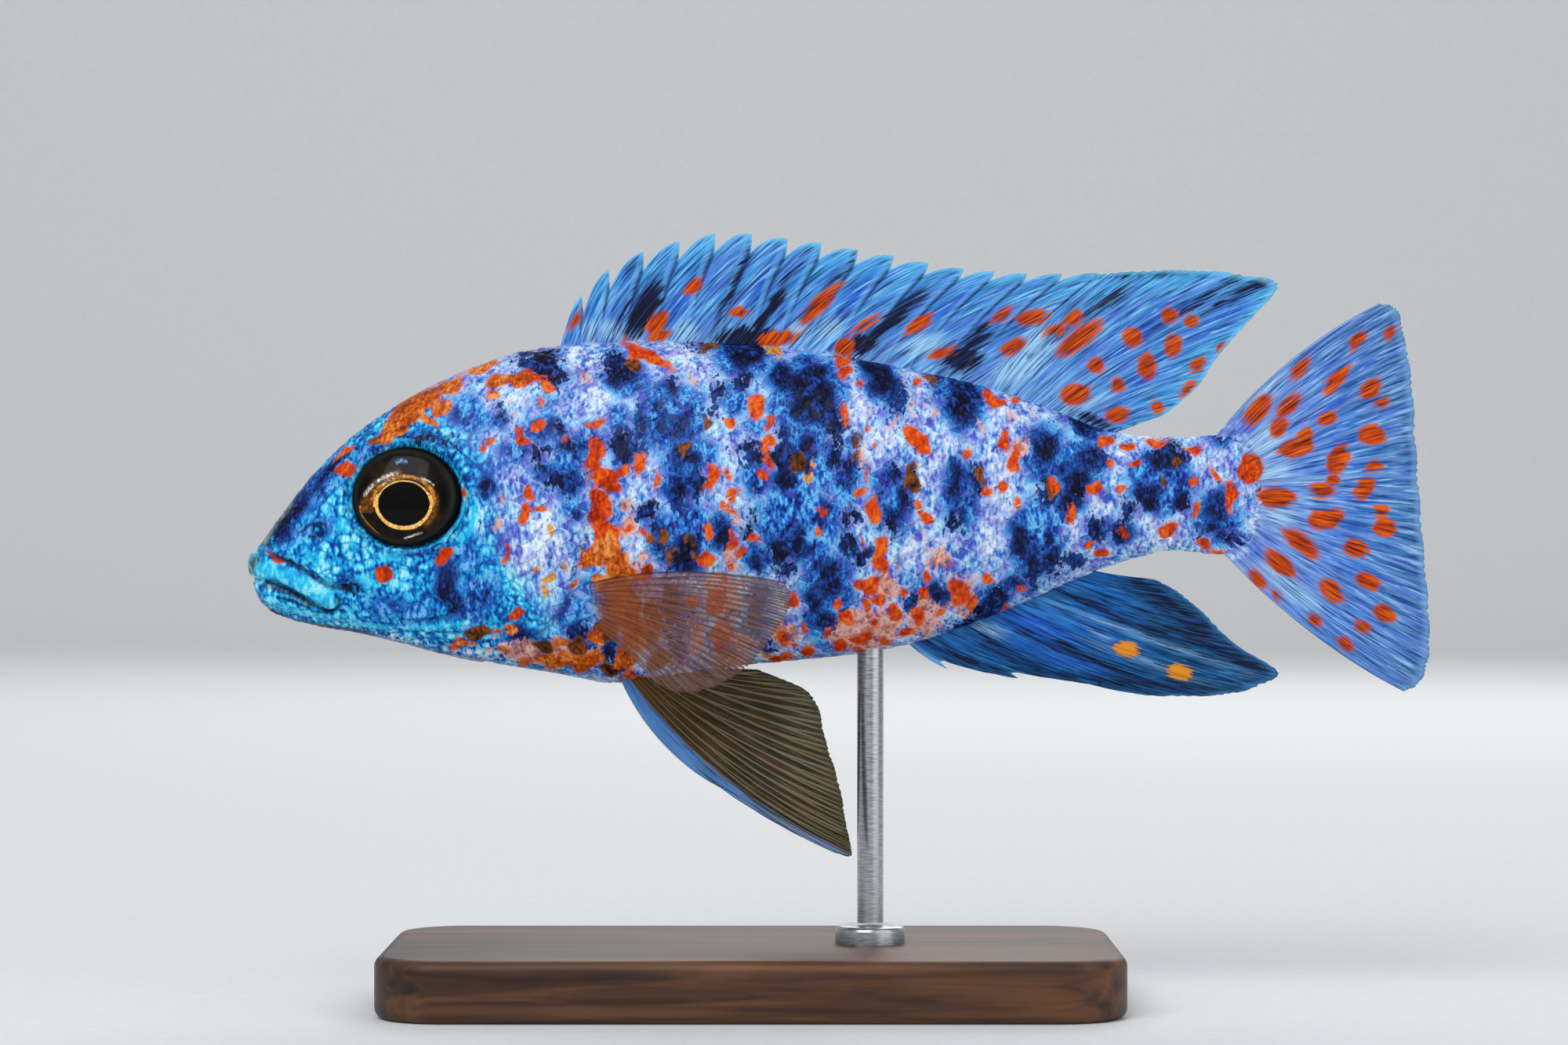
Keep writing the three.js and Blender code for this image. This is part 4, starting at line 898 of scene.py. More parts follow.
def living_skin(name, scaled):
    """Wet fish skin: pigment cells in flecks that run mostly up and down, over a layer that throws back blue
    light, under a thin clear film of slime. The glitter of that layer is painted into the colour as light
    flecks, a painted highlight. Marks have ragged edges."""
    material, shader, node = new_material(
        name, Coat_Weight=0.05, Coat_Roughness=0.2, Specular_IOR_Level=0.1
    )
    place = node("TexCoord", output="Object")
    upright = node("Mapping", {"Vector": place, "Scale": (1, 1, 0.5)})
    # Each pattern's name, what it is laid on, the size of its features and how fine its detail is
    pattern = {}
    for key, vector, size, detail in (
        ("flecks", upright, 1.1, 3), ("grain", upright, 0.4, 1), ("clouds", place, 3.2, 1),
        ("pepper", place, 1.3, 1),
    ):
        pattern[key] = node(
            "TexNoise", {"Vector": vector, "Scale": per_metre(size), "Detail": detail}
        )
    mixed = node("Math", {0: pattern["flecks"], 1: pattern["grain"]}, operation="ADD")
    ragged = node(
        "MapRange",
        {"Value": mixed, "From Min": 0.7, "From Max": 1.3, "To Min": -0.4, "To Max": 0.4},
    )
    cloudy = node("MapRange", {"Value": pattern["clouds"], "To Min": 0.25, "To Max": 0.75})
    tone = node("Math", {0: ragged, 1: 0.72, 2: cloudy}, operation="MULTIPLY_ADD")
    if scaled:
        tint = node("Attribute", output="Fac", attribute_name="tint")
        edge = node("Attribute", output="Fac", attribute_name="edge")
        # Each scale is darker at its root, painted shade under the scale ahead, and lighter to its rear
        # edge, a painted highlight
        root_shade_rim_light = node("MapRange", {"Value": edge, "From Min": 0.2, "To Min": -0.06, "To Max": 0.1})
        ragged = node("Math", {0: tint, 1: 0.05, 2: ragged}, operation="MULTIPLY_ADD")
        tone = node("Math", {0: tint, 1: 0.05, 2: tone}, operation="MULTIPLY_ADD")
        tone = node("Math", {0: tone, 1: root_shade_rim_light}, operation="ADD")
        foil_tone = tone
        # A light line along each scale's rear edge, a painted highlight
        outline = (edge, 0.84, 1.0, 0.3, "#DCEAFA")
    else:
        cells = node(
            "TexVoronoi", {"Vector": place, "Scale": per_metre(CRINKLE_SIZE)},
            feature="DISTANCE_TO_EDGE",
        )
        # Lighter middles of the crinkles are painted sheen; their darker cracks are partly the skin's dark
        # net and partly painted shade
        crinkle_light_and_shade = node("MapRange", {"Value": cells, "From Max": 0.3, "To Min": -0.14, "To Max": 0.1})
        foil_tone = node("Math", {0: tone, 1: crinkle_light_and_shade}, operation="ADD")
        # Fine dark lines in the cracks: partly the skin's dark net, partly painted shade
        outline = (cells, 0.08, 0.0, 0.45, "#0A2C6C")

    # The scaled body is lilac and ice blue with light scale edges, which are painted highlights, and the
    # face is bright foil blue with fine dark creases, partly the skin's dark net and partly painted shade
    colour = node("ValToRGB", {"Fac": tone}, stops=LILAC_TONES)
    ice = node("ValToRGB", {"Fac": tone}, stops=ICE_TONES)
    foil = node("ValToRGB", {"Fac": foil_tone}, stops=FOIL_TONES)
    face = node("Attribute", output="Fac", attribute_name="face")
    bare = node("Math", {0: ragged, 1: 0.5, 2: face}, operation="MULTIPLY_ADD")
    grounds = [(pattern["pepper"], 0.42, 0.6, 1, ice), (bare, 0.3, 0.7, 1, foil), outline]
    colour = washed(node, colour, grounds, fade="LINEAR")
    for attribute, low, high, raggedness, stops in SKIN_LAYERS:
        strength = node("Attribute", output="Fac", attribute_name=attribute)
        strength = node(
            "Math", {0: ragged, 1: raggedness, 2: strength}, operation="MULTIPLY_ADD"
        )
        tones = node("ValToRGB", {"Fac": tone}, stops=stops)
        colour = washed(node, colour, [(strength, low, high, 1, tones)])
        if attribute == "blue" and scaled:
            violet = (pattern["pepper"], 0.44, 0.3, 0.4, "#5A50C4")
            colour = washed(node, colour, [violet], fade="LINEAR")
    gloss = node(
        "MapRange",
        {"Value": pattern["grain"], "From Min": 0.3, "From Max": 0.7, "To Min": 0.32, "To Max": 0.5},
    )
    bump = node("Bump", {"Height": pattern["grain"], "Strength": 0.6, "Distance": 0.12 * MM})
    set_inputs(shader, {"Base Color": colour, "Roughness": gloss, "Normal": bump})
    return material


# Fins. gaps counts the spaces between rays. root and margin are [fore, side, up]. bow is how far the
# middle of the first and of the last ray stands off the straight line from root to tip, as a share
# of its length. notch is how deep the margin is cut between the first and between the last spines,
# and peak where in each gap it is highest. sheath is how far scaled skin climbs the fin, and lead
# over how many gaps the colour of the leading edge lies.
RAY_THICKNESS = 0.8
MEMBRANE_SHARE = 0.3
SPINY_DORSAL = {
    "gaps": 16,
    "root": [[36, 0, 56.6], [44, 0, 57.2], [56, 0, 57], [66, 0, 56], [75, 0, 54.2], [84.2, 0, 51.8]],
    "margin": [
        [36.2, 0, 60.6], [38.8, 0, 64.3], [42, 0, 67], [46.1, 0, 69], [50.2, 0, 70.1],
        [54.3, 0, 70.9], [58.5, 0, 70.8], [62.6, 0, 70.2], [66.5, 0, 69.7], [70.7, 0, 68.9],
        [74.8, 0, 68.2], [78.8, 0, 67.4], [82.8, 0, 66.8], [86.3, 0, 66.5], [90.1, 0, 66.3],
        [94.1, 0, 66.3], [98.1, 0, 66.4],
    ],
    "bow": [0.05, 0.05],
    "notch": [2.8, 1.1],
    "peak": 0.875,
    "sheath": 2.4,
}
SOFT_DORSAL = {
    "gaps": 10,
    "root": [[84, 0, 51.8], [88.7, 0, 50.4], [93.2, 0, 48.6], [97.9, 0, 46.8]],
    "margin": [
        [97.9, 0, 66.4], [102, 0, 66.6], [106, 0, 66.8], [110.5, 0, 66.7], [115, 0, 66.2],
        [118.7, 0, 65.2], [115.9, 0, 61.6], [112.2, 0, 57.5], [109.3, 0, 53.4], [105.5, 0, 50.2],
        [100.9, 0, 48.8],
    ],
    "bow": [0.05, 0.04],
    "sheath": 2.4,
    "lead": 0.01,
}
TAIL_FIN = {
    "gaps": 16,
    "root": [[110.8, 0, 46.8], [112.6, 0, 44], [113, 0, 41], [112.8, 0, 38], [111.6, 0, 35]],
    "margin": [
        [130.4, 0, 63], [132.4, 0, 62.5], [133.4, 0, 59], [134.2, 0, 54.5], [134.7, 0, 47.3],
        [135.2, 0, 40.1], [135.8, 0, 32.9], [136.3, 0, 26.6], [136.2, 0, 22.1], [135.2, 0, 19.2],
        [133.4, 0, 18.1],
    ],
    "bow": [0.06, -0.045],
    "sheath": 6.5,
}
ANAL_FIN = {
    "gaps": 11,
    "spines": 3,
    "root": [
        [75.4, 0, 24.4], [79.7, 0, 25.7], [84.2, 0, 27.4], [88.7, 0, 29.2], [93.2, 0, 31.2],
        [96.4, 0, 32.4],
    ],
    "margin": [
        [80.4, 0, 20.9], [88.6, 0, 19.8], [98.8, 0, 18.9], [103, 0, 17.9], [108, 0, 17.7],
        [112.6, 0, 17.9], [116, 0, 18.7], [118.7, 0, 20.3], [113.8, 0, 23.6], [110.2, 0, 27.1],
        [107.4, 0, 29.5], [104.6, 0, 31.1],
    ],
    "bow": [-0.05, -0.02],
    "notch": [2.2, 2.2],
    "sheath": 1.6,
}
PECTORAL_FIN = {
    "gaps": 13,
    "root": [[39.4, -8.4, 30.8], [39.9, -7.9, 28.6], [40.8, -7, 25.8]],
    "margin": [
        [62, -12.6, 31], [62.6, -13.2, 29.1], [61.8, -13.6, 27], [60.4, -13.8, 24.9],
        [58.6, -13.6, 22.5], [56.3, -13.2, 20.5], [53.2, -12.6, 19], [50, -12, 18.6],
        [47.3, -11.2, 19.6],
    ],
    "bow": [0.06, 0.02],
}
PELVIC_FIN = {
    "gaps": 12,
    "lead": 2.2,
    "root": [[42.8, -2.7, 20.4], [45.2, -2.3, 20.6], [48.4, -1.8, 21]],
    "margin": [
        [53.2, -5.4, 8.3], [69.3, -7.5, 0], [68.9, -7.2, 2.6], [68.2, -6.5, 7], [66.6, -5.6, 12.4],
        [65, -4.6, 17.6], [58.8, -3.4, 20.7],
    ],
    "bow": [-0.08, 0],
}
LINES_PER_GAP = 16
STEPS_ALONG_RAY = 64
# Where rays part for the first time, from root to tip, a spine's width in gaps, how the margin
# falls back between the spines of the anal fin, and how far the membrane ripples, in millimetres
FIRST_FORK = (0.25, 0.65)
SPINE_WIDTH = 0.08
SPINE_LOBE = [[0, 0], [0.07, 0.8], [0.2, 1], [0.6, 0.33], [1, 0]]
RIPPLE = 0.12

# Orange spots of the fins
FIN_SPOTS = [
    # spiny dorsal fin
    (37.9, 61.1, 2.6, 0.8, 60), (47.2, 60.6, 3.4, 1.9, 60), (47.5, 59.2, 2.6, 1.2, 10),
    (51.3, 64.8, 2.4, 1.5, 45), (65.6, 62.6, 6, 1.7, 45), (71, 60.4, 3.4, 0.7, 33),
    (77.2, 60.5, 3.6, 1.6, 38), (61, 58.8, 4.4, 1.6, 10), (79.8, 57.2, 2.8, 1.2, 20),
    (56.6, 61.8, 2.2, 1.1), (68.6, 57.8, 2.4, 2, 40), (45.8, 57.4, 5, 1.2, -26),
    # soft dorsal fin
    (86.7, 61.5, 2.8, 1.3, 35), (90, 61.2, 3.8, 1.7, 10), (88, 57.9, 3.2, 1.6, 30),
    (92.8, 59.8, 2.6, 1.3, 25), (94.9, 61.2, 2.2, 1.7, 35), (95.6, 58.8, 6.2, 2.1, 38),
    (101.8, 59, 2.2, 2.3), (106, 61.5, 1.9, 1.9, 30), (108.5, 60.9, 1.6, 1.6, 30),
    (106.4, 58.1, 2, 2.7, -10), (112.4, 57.8, 2, 1.7, 20), (97.5, 55.8, 1.9, 1.9),
    (103.4, 55.7, 2.1, 3.2), (109.3, 55.9, 2, 1.4, 40), (100.1, 53.5, 1.6, 1.7),
    (108.3, 53, 2.2, 1.2, 40), (104.6, 51, 1.4, 1.4), (100, 50.1, 2.8, 1.9), (95.2, 52.4, 3.6, 2.4, 10),
    # tail fin
    (116.3, 50.7, 4.3, 2.1, 52), (121.2, 55.4, 3, 1.3, 50), (119.8, 51.2, 3.6, 1.8, 40),
    (118.7, 48.7, 2.6, 1.8, 55), (125.4, 54.2, 3.8, 1.7, 48), (127.8, 58.8, 2.6, 1.4, 50),
    (131.7, 59.7, 1.9, 1.2, 45), (129.3, 53.1, 2.9, 1.9, 45), (130.6, 51.5, 1.9, 1.2, 30),
    (124.3, 49.7, 2.4, 1.6, 20), (120.6, 46.2, 4, 2.2, 5), (121.8, 47.2, 1.8, 3),
    (129.5, 47.8, 3.3, 2.2, -3), (125.5, 45, 3.8, 2.3, 65), (129.8, 44.3, 1.9, 1.3, 15),
    (115.4, 44, 3, 3.4), (123.7, 41.4, 3, 1.6), (125, 42.6, 1.6, 1.4), (128.7, 41.7, 3, 1.9, 55),
    (118.4, 40.6, 4.5, 2.5), (124.2, 38.1, 4.3, 2.4, 10), (130.6, 39, 1.6, 1.3), (131, 37.1, 2.7, 2),
    (121.3, 35.3, 4.9, 2, -38), (127.6, 34.8, 2.9, 2.1, -12), (118.9, 32.9, 4.4, 2, -40),
    (116.2, 31.2, 2.6, 1.4, -50), (124.8, 29.8, 3.4, 2, -45), (129, 30.9, 3, 2, -25),
    (118.4, 29.3, 1.4, 0.8, -50), (130.9, 27.2, 2.6, 2, -35), (122.9, 26.5, 1.8, 1.2, -40),
    (128.4, 25.7, 2, 1.4, -20), (126.4, 23.7, 2.2, 1.4, -40),
]
YELLOW_FIN_SPOTS = [(101, 23.1, 3.1, 1.7, -15), (107.2, 20.5, 2.9, 1.8, -12)]
# Dark streaks and patches of the fins
FIN_SHADES = [
    (45.6, 62, 8, 2.6, 62), (43.2, 61.6, 5, 0.7, 64), (55.6, 64, 9, 0.9, 66),
    (57.4, 58.4, 6.4, 3.6, 10), (58.8, 60.4, 4, 1.4, 50), (60.4, 62.6, 8, 0.9, 58),
    (73.8, 60.8, 11, 1.7, 42), (70.6, 58.2, 3.6, 2.4), (82, 56.4, 4.6, 3), (84, 58.6, 4.4, 1.4, 25),
    (52, 57.6, 3.4, 1.2), (66.6, 64.4, 6, 0.7, 50), (84.4, 60, 3, 1, 30), (102, 66.5, 14, 0.9),
    (114.6, 64.4, 8, 1.1, 26), (98, 62.6, 10, 0.7, 35), (110, 63.6, 10, 0.8, 32),
    (97.4, 49.4, 3.4, 1, -25), (99, 27.4, 14, 0.7, -24), (106, 28.4, 10, 1.1, -34),
    (108.6, 25.8, 12, 0.9, -32), (112, 22.9, 12, 1, -24), (96, 22.4, 12, 0.7, -22),
    (103, 19.2, 14, 0.8, -5), (80.4, 23, 7, 0.5, -25), (88, 22, 7, 0.6, -25), (86, 24, 8, 0.5, -28),
]
# Saturated blue between the rays
FIN_BLUES = [
    (122.7, 43.7, 3, 1.3), (125, 47.4, 4.4, 1.2, 20), (127.6, 44.6, 3, 1.4), (126.8, 40.9, 2.6, 1.2),
    (127.5, 37.4, 3.2, 1.4), (124.3, 35, 3, 1.3, -25), (126.5, 32.4, 3.6, 1.5, -20),
    (117.6, 35.8, 2.6, 1.6, -35), (122.8, 49.6, 1.8, 1.2, 30), (125.6, 51.4, 4, 1.3, 30),
    (128.6, 55.4, 3.4, 1.4, 35), (104, 60.4, 14, 3, 36), (104, 55, 10, 2.4, 36), (112, 61, 9, 3, 36),
    (59, 65, 7, 1.6, 58), (49.6, 62.4, 7, 2, 60), (70, 64, 8, 2, 46), (81, 62.8, 9, 1.6, 36),
    (90, 26, 14, 3, -22), (94, 22, 12, 2, -20), (114.6, 48.8, 6, 3, 42), (115, 35.2, 6, 3, -42),
]
# Light patches and streaks of the fins
FIN_PALES = [
    (42, 59.8, 2.4, 4, 70), (50.4, 59.6, 3, 3), (39.6, 59.6, 2, 3), (67, 60, 4, 2.4, 40),
    (77.4, 58, 6, 2.4, 15), (63.4, 59.6, 3, 2.4, 40), (88.6, 55.4, 7, 3.6, 25), (91, 58.4, 5, 3.6, 25),
    (97, 51.4, 6, 1, 15), (117, 47.2, 5, 4, 10), (118, 43.4, 4, 2.4), (119, 38.6, 4, 2.4, -5),
    (121, 40.3, 8, 0.7, 2), (124, 42.7, 8, 0.6, 4), (117, 53, 7, 2, 42), (120, 30.4, 9, 2.4, -42),
    (98.2, 24.8, 2.4, 0.5, -25), (85.4, 25.4, 4, 1.6, -15), (102, 24.9, 14, 0.5, -20),
    (103, 21.8, 10, 0.5, -20), (106, 23.6, 12, 0.45, -20),
]
# Each colour's name and marks on the fins, and the width over which it comes in at its outlines
FIN_MARKS = [
    ("orange", FIN_SPOTS, 1.3), ("yellow", YELLOW_FIN_SPOTS, 1), ("navy", FIN_SHADES, 1.9),
    ("blue", FIN_BLUES, 1.9), ("pale", FIN_PALES, 1.9),
]


def ray_ridges(position, t):
    """How much a ray stands out of the membrane, from 0 to 1. position counts the rays across the
    fin. Each ray parts into two and then four branches towards the margin."""
    first, second = smooth_step(*FIRST_FORK, t), smooth_step(FIRST_FORK[1], 1, t)
    offsets = [
        0.25 * one * first + 0.125 * two * second for one in (-1, 1) for two in (-1, 1)
    ]
    width = 0.17 - 0.09 * t
    return np.maximum.reduce([bell(((position - k + 0.5) % 1 - 0.5) / width) for k in offsets])


def spine_ridges(position, t, peak):
    """A stout spine in each gap, with thin folds of the membrane between the spines."""
    phase = (position - peak) % 1
    folds = 0.35 * np.abs(np.sin(3 * np.pi * phase + 1.5 * t)) * smooth_step(0.1, 0.5, t)
    return np.clip(bell(np.minimum(phase, 1 - phase) / SPINE_WIDTH) + folds, 0, 1)


def margin_shortfall(fin, position):
    """How far the margin stops short of the ray tips, in millimetres."""
    phase = position % 1
    teeth = np.abs(np.sin(4 * np.pi * position + 1.3 * np.sin(2.7 * position)))
    teeth *= 0.2 + 0.14 * np.sin(5.3 * position)
    if "notch" not in fin:
        return teeth
    notch = np.interp(position, [0, fin["gaps"]], fin["notch"])
    if "spines" in fin:
        return np.where(position < fin["spines"], notch * between(SPINE_LOBE, phase), teeth)
    peak = fin["peak"]
    climb = np.clip(1 - phase / peak, 0, 1) ** 2.6
    drop = np.clip((phase - peak) / (1 - peak), 0, 1) ** 1.3
    return notch * np.maximum(climb, drop)


def fin_blade(name, fin, thickness=RAY_THICKNESS, side=1, slant=0.0):
    """A fin from a flat grid: its columns become lines from root to margin, its rows steps along
    them, and rays stand out of the membrane on both faces. slant leans the streaks of pigment over
    against the rays, in gaps for each millimetre."""
    blade = new_piece(
        name, bpy.ops.mesh.primitive_grid_add, x_subdivisions=fin["gaps"] * LINES_PER_GAP,
        y_subdivisions=STEPS_ALONG_RAY, size=2,
    )
    place, t, _ = (points_of(blade).T + 1) / 2
    position = place * fin["gaps"]
    root, tip = curve_through(fin["root"])(place), curve_through(fin["margin"])(place)
    length = np.linalg.norm(tip - root, axis=1)
    shortfall = margin_shortfall(fin, position)
    tip += (root - tip) * (shortfall / length)[:, None]
    straight = tip - root
    across = np.stack([-straight[:, 2], np.zeros_like(t), straight[:, 0]], -1)
    bow = 4 * np.interp(place, [0, 1], fin["bow"])
    points = root + straight * t[:, None] + across * (bow * t * (1 - t))[:, None]
    points[:, 1] += RIPPLE * np.sin(2 * np.pi * position) * smooth_step(0.3, 1, t)
    points[:, 1] *= side
    move_points(blade, placed(points))

    # Rays are thick and the membrane thin, and both thin out towards the margin
    spiny = "peak" in fin
    ridge = spine_ridges(position, t, fin["peak"]) if spiny else ray_ridges(position, t)
    weight = MEMBRANE_SHARE + (1 - MEMBRANE_SHARE) * ridge * (1 - 0.6 * t)
    weight *= 1 - 0.55 * smooth_step(0.85, 1, t)
    levels = np.round(weight * 100).astype(int)
    group = blade.vertex_groups.new(name="thickness")
    for level in np.unique(levels).tolist():
        group.add(np.nonzero(levels == level)[0].tolist(), level / 100, "REPLACE")
    reach = t * (length - shortfall)
    store(blade, "ray", ridge)
    store(blade, "reach", t)
    store(blade, "lead", np.exp(-((position / fin.get("lead", 0.3)) ** 4)))
    fold = bell(np.minimum(position % 1, 1 - position % 1) / 0.07) * smooth_step(0.15, 0.8, t)
    store(blade, "fold", fold * spiny)
    store(blade, "sheath", smooth_step(fin.get("sheath", 0.1), 0, reach))
    for key, marks, edge in FIN_MARKS:
        store(blade, key, mark_strength(marks, edge, points[:, 0], points[:, 2]))
    store_map(blade, "rays", position - slant * reach, reach)
    solidify = blade.modifiers.new("thickness", "SOLIDIFY")
    solidify.thickness = thickness * MM
    solidify.offset = 0
    solidify.vertex_group = "thickness"
    bpy.ops.object.modifier_apply(modifier="thickness")
    face_outward()
    return blade


# Tones of the scaled sheath at a fin's root, of its orange spots and of its dark patches
SHEATH_TONES = [(0.3, "#4258B8"), (0.46, "#7C96DE"), (0.6, "#A8C6EE"), (0.76, "#E0F0FA")]
SPOT_TONES = [(0.32, "#481202"), (0.43, "#8E2C02"), (0.52, "#BE3E02"), (0.64, "#DA600C")]
SHADE_TONES = [(0.3, "#04060F"), (0.56, "#0D1634"), (0.7, "#1E3C8C")]


def fin_membrane(name, stops, looks, opacity=None):
    """Fin membrane: thin skin stretched between rays, with streaks of pigment that run along them.
    looks holds the colours of the rays, the light, dark and second streaks, the leading edge and
    the rim. opacity is how solid the membrane and the rays are, where light comes through, and
    the share of the fin over which it comes in at the root."""
    material, shader, node = new_material(
        name, Coat_Weight=0.07, Coat_Roughness=0.2, Roughness=0.42, Specular_IOR_Level=0.12
    )
    own = node("UVMap", uv_map="rays")
    # Each set of streaks, how many cross a gap and a millimetre of ray, and how fine its detail is
    streaks = {}
    for key, across, along, detail in (
        ("fine", 10, 0.25, 2), ("lines", 17, 0.16, 1), ("broad", 2.4, 0.14, 1),
    ):
        drawn = node("Mapping", {"Vector": own, "Scale": (across, along, 1)})
        streaks[key] = node("TexNoise", {"Vector": drawn, "Scale": 1.0, "Detail": detail})
    fine = streaks["fine"]
    place = node("TexCoord", output="Object")
    flecks = node("TexNoise", {"Vector": place, "Scale": per_metre(0.9), "Detail": 2})
    ragged, streaked = (
        node(
            "MapRange",
            {"Value": fine, "From Min": 0.3, "From Max": 0.7, "To Min": -most, "To Max": most},
        )
        for most in (0.3, 0.4)
    )
    mottled = node(
        "MapRange", {"Value": flecks, "From Min": 0.34, "From Max": 0.6, "To Min": 0.4}
    )
    part = {}
    for key, operation, other in (
        ("ray", "MULTIPLY", 1.0), ("reach", "MULTIPLY", 1.0), ("fold", "MULTIPLY", 1.0),
        ("pale", "MULTIPLY", fine), ("blue", "MULTIPLY", fine), ("sheath", "MULTIPLY", mottled),
        ("navy", "ADD", streaked), ("lead", "ADD", ragged), ("yellow", "ADD", ragged),
        ("orange", "ADD", ragged),
    ):
        stored = node("Attribute", output="Fac", attribute_name=key)
        part[key] = node("Math", {0: stored, 1: other}, operation=operation)
    sheath = node("ValToRGB", {"Fac": flecks}, stops=SHEATH_TONES)
    spot = node("ValToRGB", {"Fac": fine}, stops=SPOT_TONES)
    shade = node("ValToRGB", {"Fac": streaks["lines"]}, stops=SHADE_TONES)
    ground = node("ValToRGB", {"Fac": part["reach"]}, stops=stops)
    colour = washed(node, ground, [
        (streaks["broad"], 0.46, 0.62, 0.5, looks["second"]),
        (part["pale"], 0.12, 0.5, 0.8, "#A8D6F4"),
        (part["blue"], 0.12, 0.5, 0.85, "#2058CC"),
        (fine, 0.52, 0.66, 0.7, looks["light"]),
        (fine, 0.46, 0.34, 0.8, looks["dark"]),
        (part["lead"], 0.35, 0.8, 0.9, looks["lead"]),
        (streaks["lines"], 0.46, 0.37, 0.7, looks["dark"]),
        (part["ray"], 0.5, 0.9, 0.65 if opacity else 0.4, looks["ray"]),
        (part["fold"], 0.2, 0.9, 0.75, looks["dark"]),
        (part["sheath"], 0.16, 0.6, 0.9, sheath),
        (part["navy"], 0.36, 0.66, 1, shade),
        (part["yellow"], 0.42, 0.6, 1, "#D88A20"),
        (part["orange"], 0.34, 0.64, 1, spot),
        (part["reach"], 0.95, 0.995, 0.6, looks["rim"]),
    ])
    bump = node("Bump", {"Height": streaks["lines"], "Strength": 0.4, "Distance": 0.12 * MM})
    set_inputs(shader, {"Base Color": colour, "Normal": bump})
    if opacity:
        clear, full, rooting = opacity
        thick = node("MapRange", {"Value": fine, "From Min": 0.55, "From Max": 0.35, "To Max": 0.4})
        fleshy = node(
            "MapRange", {"Value": part["reach"], "From Max": 0.6, "To Min": 0.55, "To Max": 0.2}
        )
        ribs = node("Math", {0: part["ray"], 1: thick}, operation="MAXIMUM")
        ribs = node("Math", {0: ribs, 1: fleshy}, operation="MAXIMUM")
        solid = node(
            "MapRange",
            {"Value": ribs, "From Min": 0.15, "From Max": 0.9, "To Min": clear, "To Max": full},
        )
        rooted = node("MapRange", {"Value": part["reach"], "From Max": rooting, "To Min": 0.25})
        solid = node("Math", {0: solid, 1: rooted}, operation="MULTIPLY")
        set_inputs(shader, {"Alpha": solid})
    return material


# The pupil, the width of the gold ring round it, and the strokes of colour of the iris, each with
# its half width, as the photograph shows them
PUPIL = {"fore": 18.05, "up": 39.85, "wide": 2.95, "high": 2.54}
GOLD_RING = 0.22
EYE_STROKES = {
    "gold": [
        ([[14.9, 40], [15, 39.1], [15.5, 38.3], [16.5, 37.3], [17.8, 36.95], [19.4, 37.2], [20.6, 38.3],
          [21.2, 40], [20.9, 41.4]], 0.26),
        ([[16.4, 37], [18.1, 36.6], [19.3, 36.9], [20.3, 37.5]], 0.16),
        ([[18.1, 36.7], [17.9, 36.3], [17.5, 35.6]], 0.18), ([[14.5, 39.3], [14.7, 40.2], [15.2, 41]], 0.24),
    ],
    "amber": [
        ([[13.05, 39.9], [13.1, 38.8], [13.6, 37.9], [14.5, 36.9], [15.6, 35.9]], 0.18),
        ([[14.2, 39.6], [14.8, 41.2], [16.2, 42.4], [18, 43], [19.9, 42.6], [21.2, 41.5], [21.5, 40.3],
          [21.2, 39]], 0.26),
    ],
    "brown": [
        ([[13.7, 38.6], [14, 40.2], [15, 41.8], [16.6, 42.7], [18.2, 43.2]], 0.85),
        ([[20.4, 42.2], [21.6, 40.6], [21.4, 38.8], [20.2, 37.2]], 0.5),
    ],
    # The silver strokes above the pupil are painted glints; the one under it is the iris's own silver
    "silver": [
        ([[13.3, 40.5], [14.3, 41.8], [15.4, 42.65], [16.5, 43.2], [17.6, 43.4]], 0.26),
        ([[15.4, 41.9], [16.1, 42.4], [16.9, 42.8]], 0.14),
        ([[19.8, 42.9], [20.8, 42.5], [21.7, 41.8]], 0.14),
        ([[17.9, 35.8], [19, 36.15], [20.3, 36.6]], 0.16),
    ],
    "azure": [
        ([[17, 44.5], [17.8, 44.8], [18.5, 44.5]], 0.34),
        ([[18.4, 35.2], [20.1, 35.3], [21.2, 35.9], [22.4, 36.9], [23.2, 38]], 0.3),
    ],
}


def fish_eye(name, side):
    """A bulging eye: a ball pressed to the shape of the socket, with its poles front and back."""
    eye = new_piece(
        name, bpy.ops.mesh.primitive_uv_sphere_add, segments=128, ring_count=96,
        rotation=(math.pi / 2, 0, 0),
    )
    bpy.ops.object.transform_apply(location=False, rotation=True, scale=False)
    x, y, z = points_of(eye).T
    share = np.sqrt(np.clip(x * x + z * z, 0, 1))
    angle = np.arctan2(z, x)
    front = EYE_DOME * np.clip(1 - share**2, 0, 1) ** 0.55
    out = EYE_EDGE + np.where(y < 0, front, -EYE_BACK * np.abs(y) ** 0.6)
    nearness = 1 - EYE_BULGE / CAMERA["away"]
    share *= EYE_REACH
    across = share * np.cos(angle) * EYE["wide"] * nearness
    high = share * np.sin(angle) * EYE["high"] * nearness
    out, high = turned(out, high, EYE_UPWARD)
    across, out = turned(across, out, EYE_FORWARD)
    points = np.stack([
        CAMERA["fore"] + (EYE["fore"] - CAMERA["fore"]) * nearness + across,
        (EYE["side"] + out) * side,
        CAMERA["up"] + (EYE["up"] - CAMERA["up"]) * nearness + high,
    ], -1)
    move_points(eye, placed(points))
    fore, up = seen(points)
    beyond = (oval_share(PUPIL, fore, up) - 1) * (PUPIL["wide"] + PUPIL["high"]) / 2
    store(eye, "beyond_pupil", beyond)
    for key, strokes in EYE_STROKES.items():
        store(eye, key, strongest(strokes, fore, up))
    store(eye, "out", share)
    face_outward()
    return eye


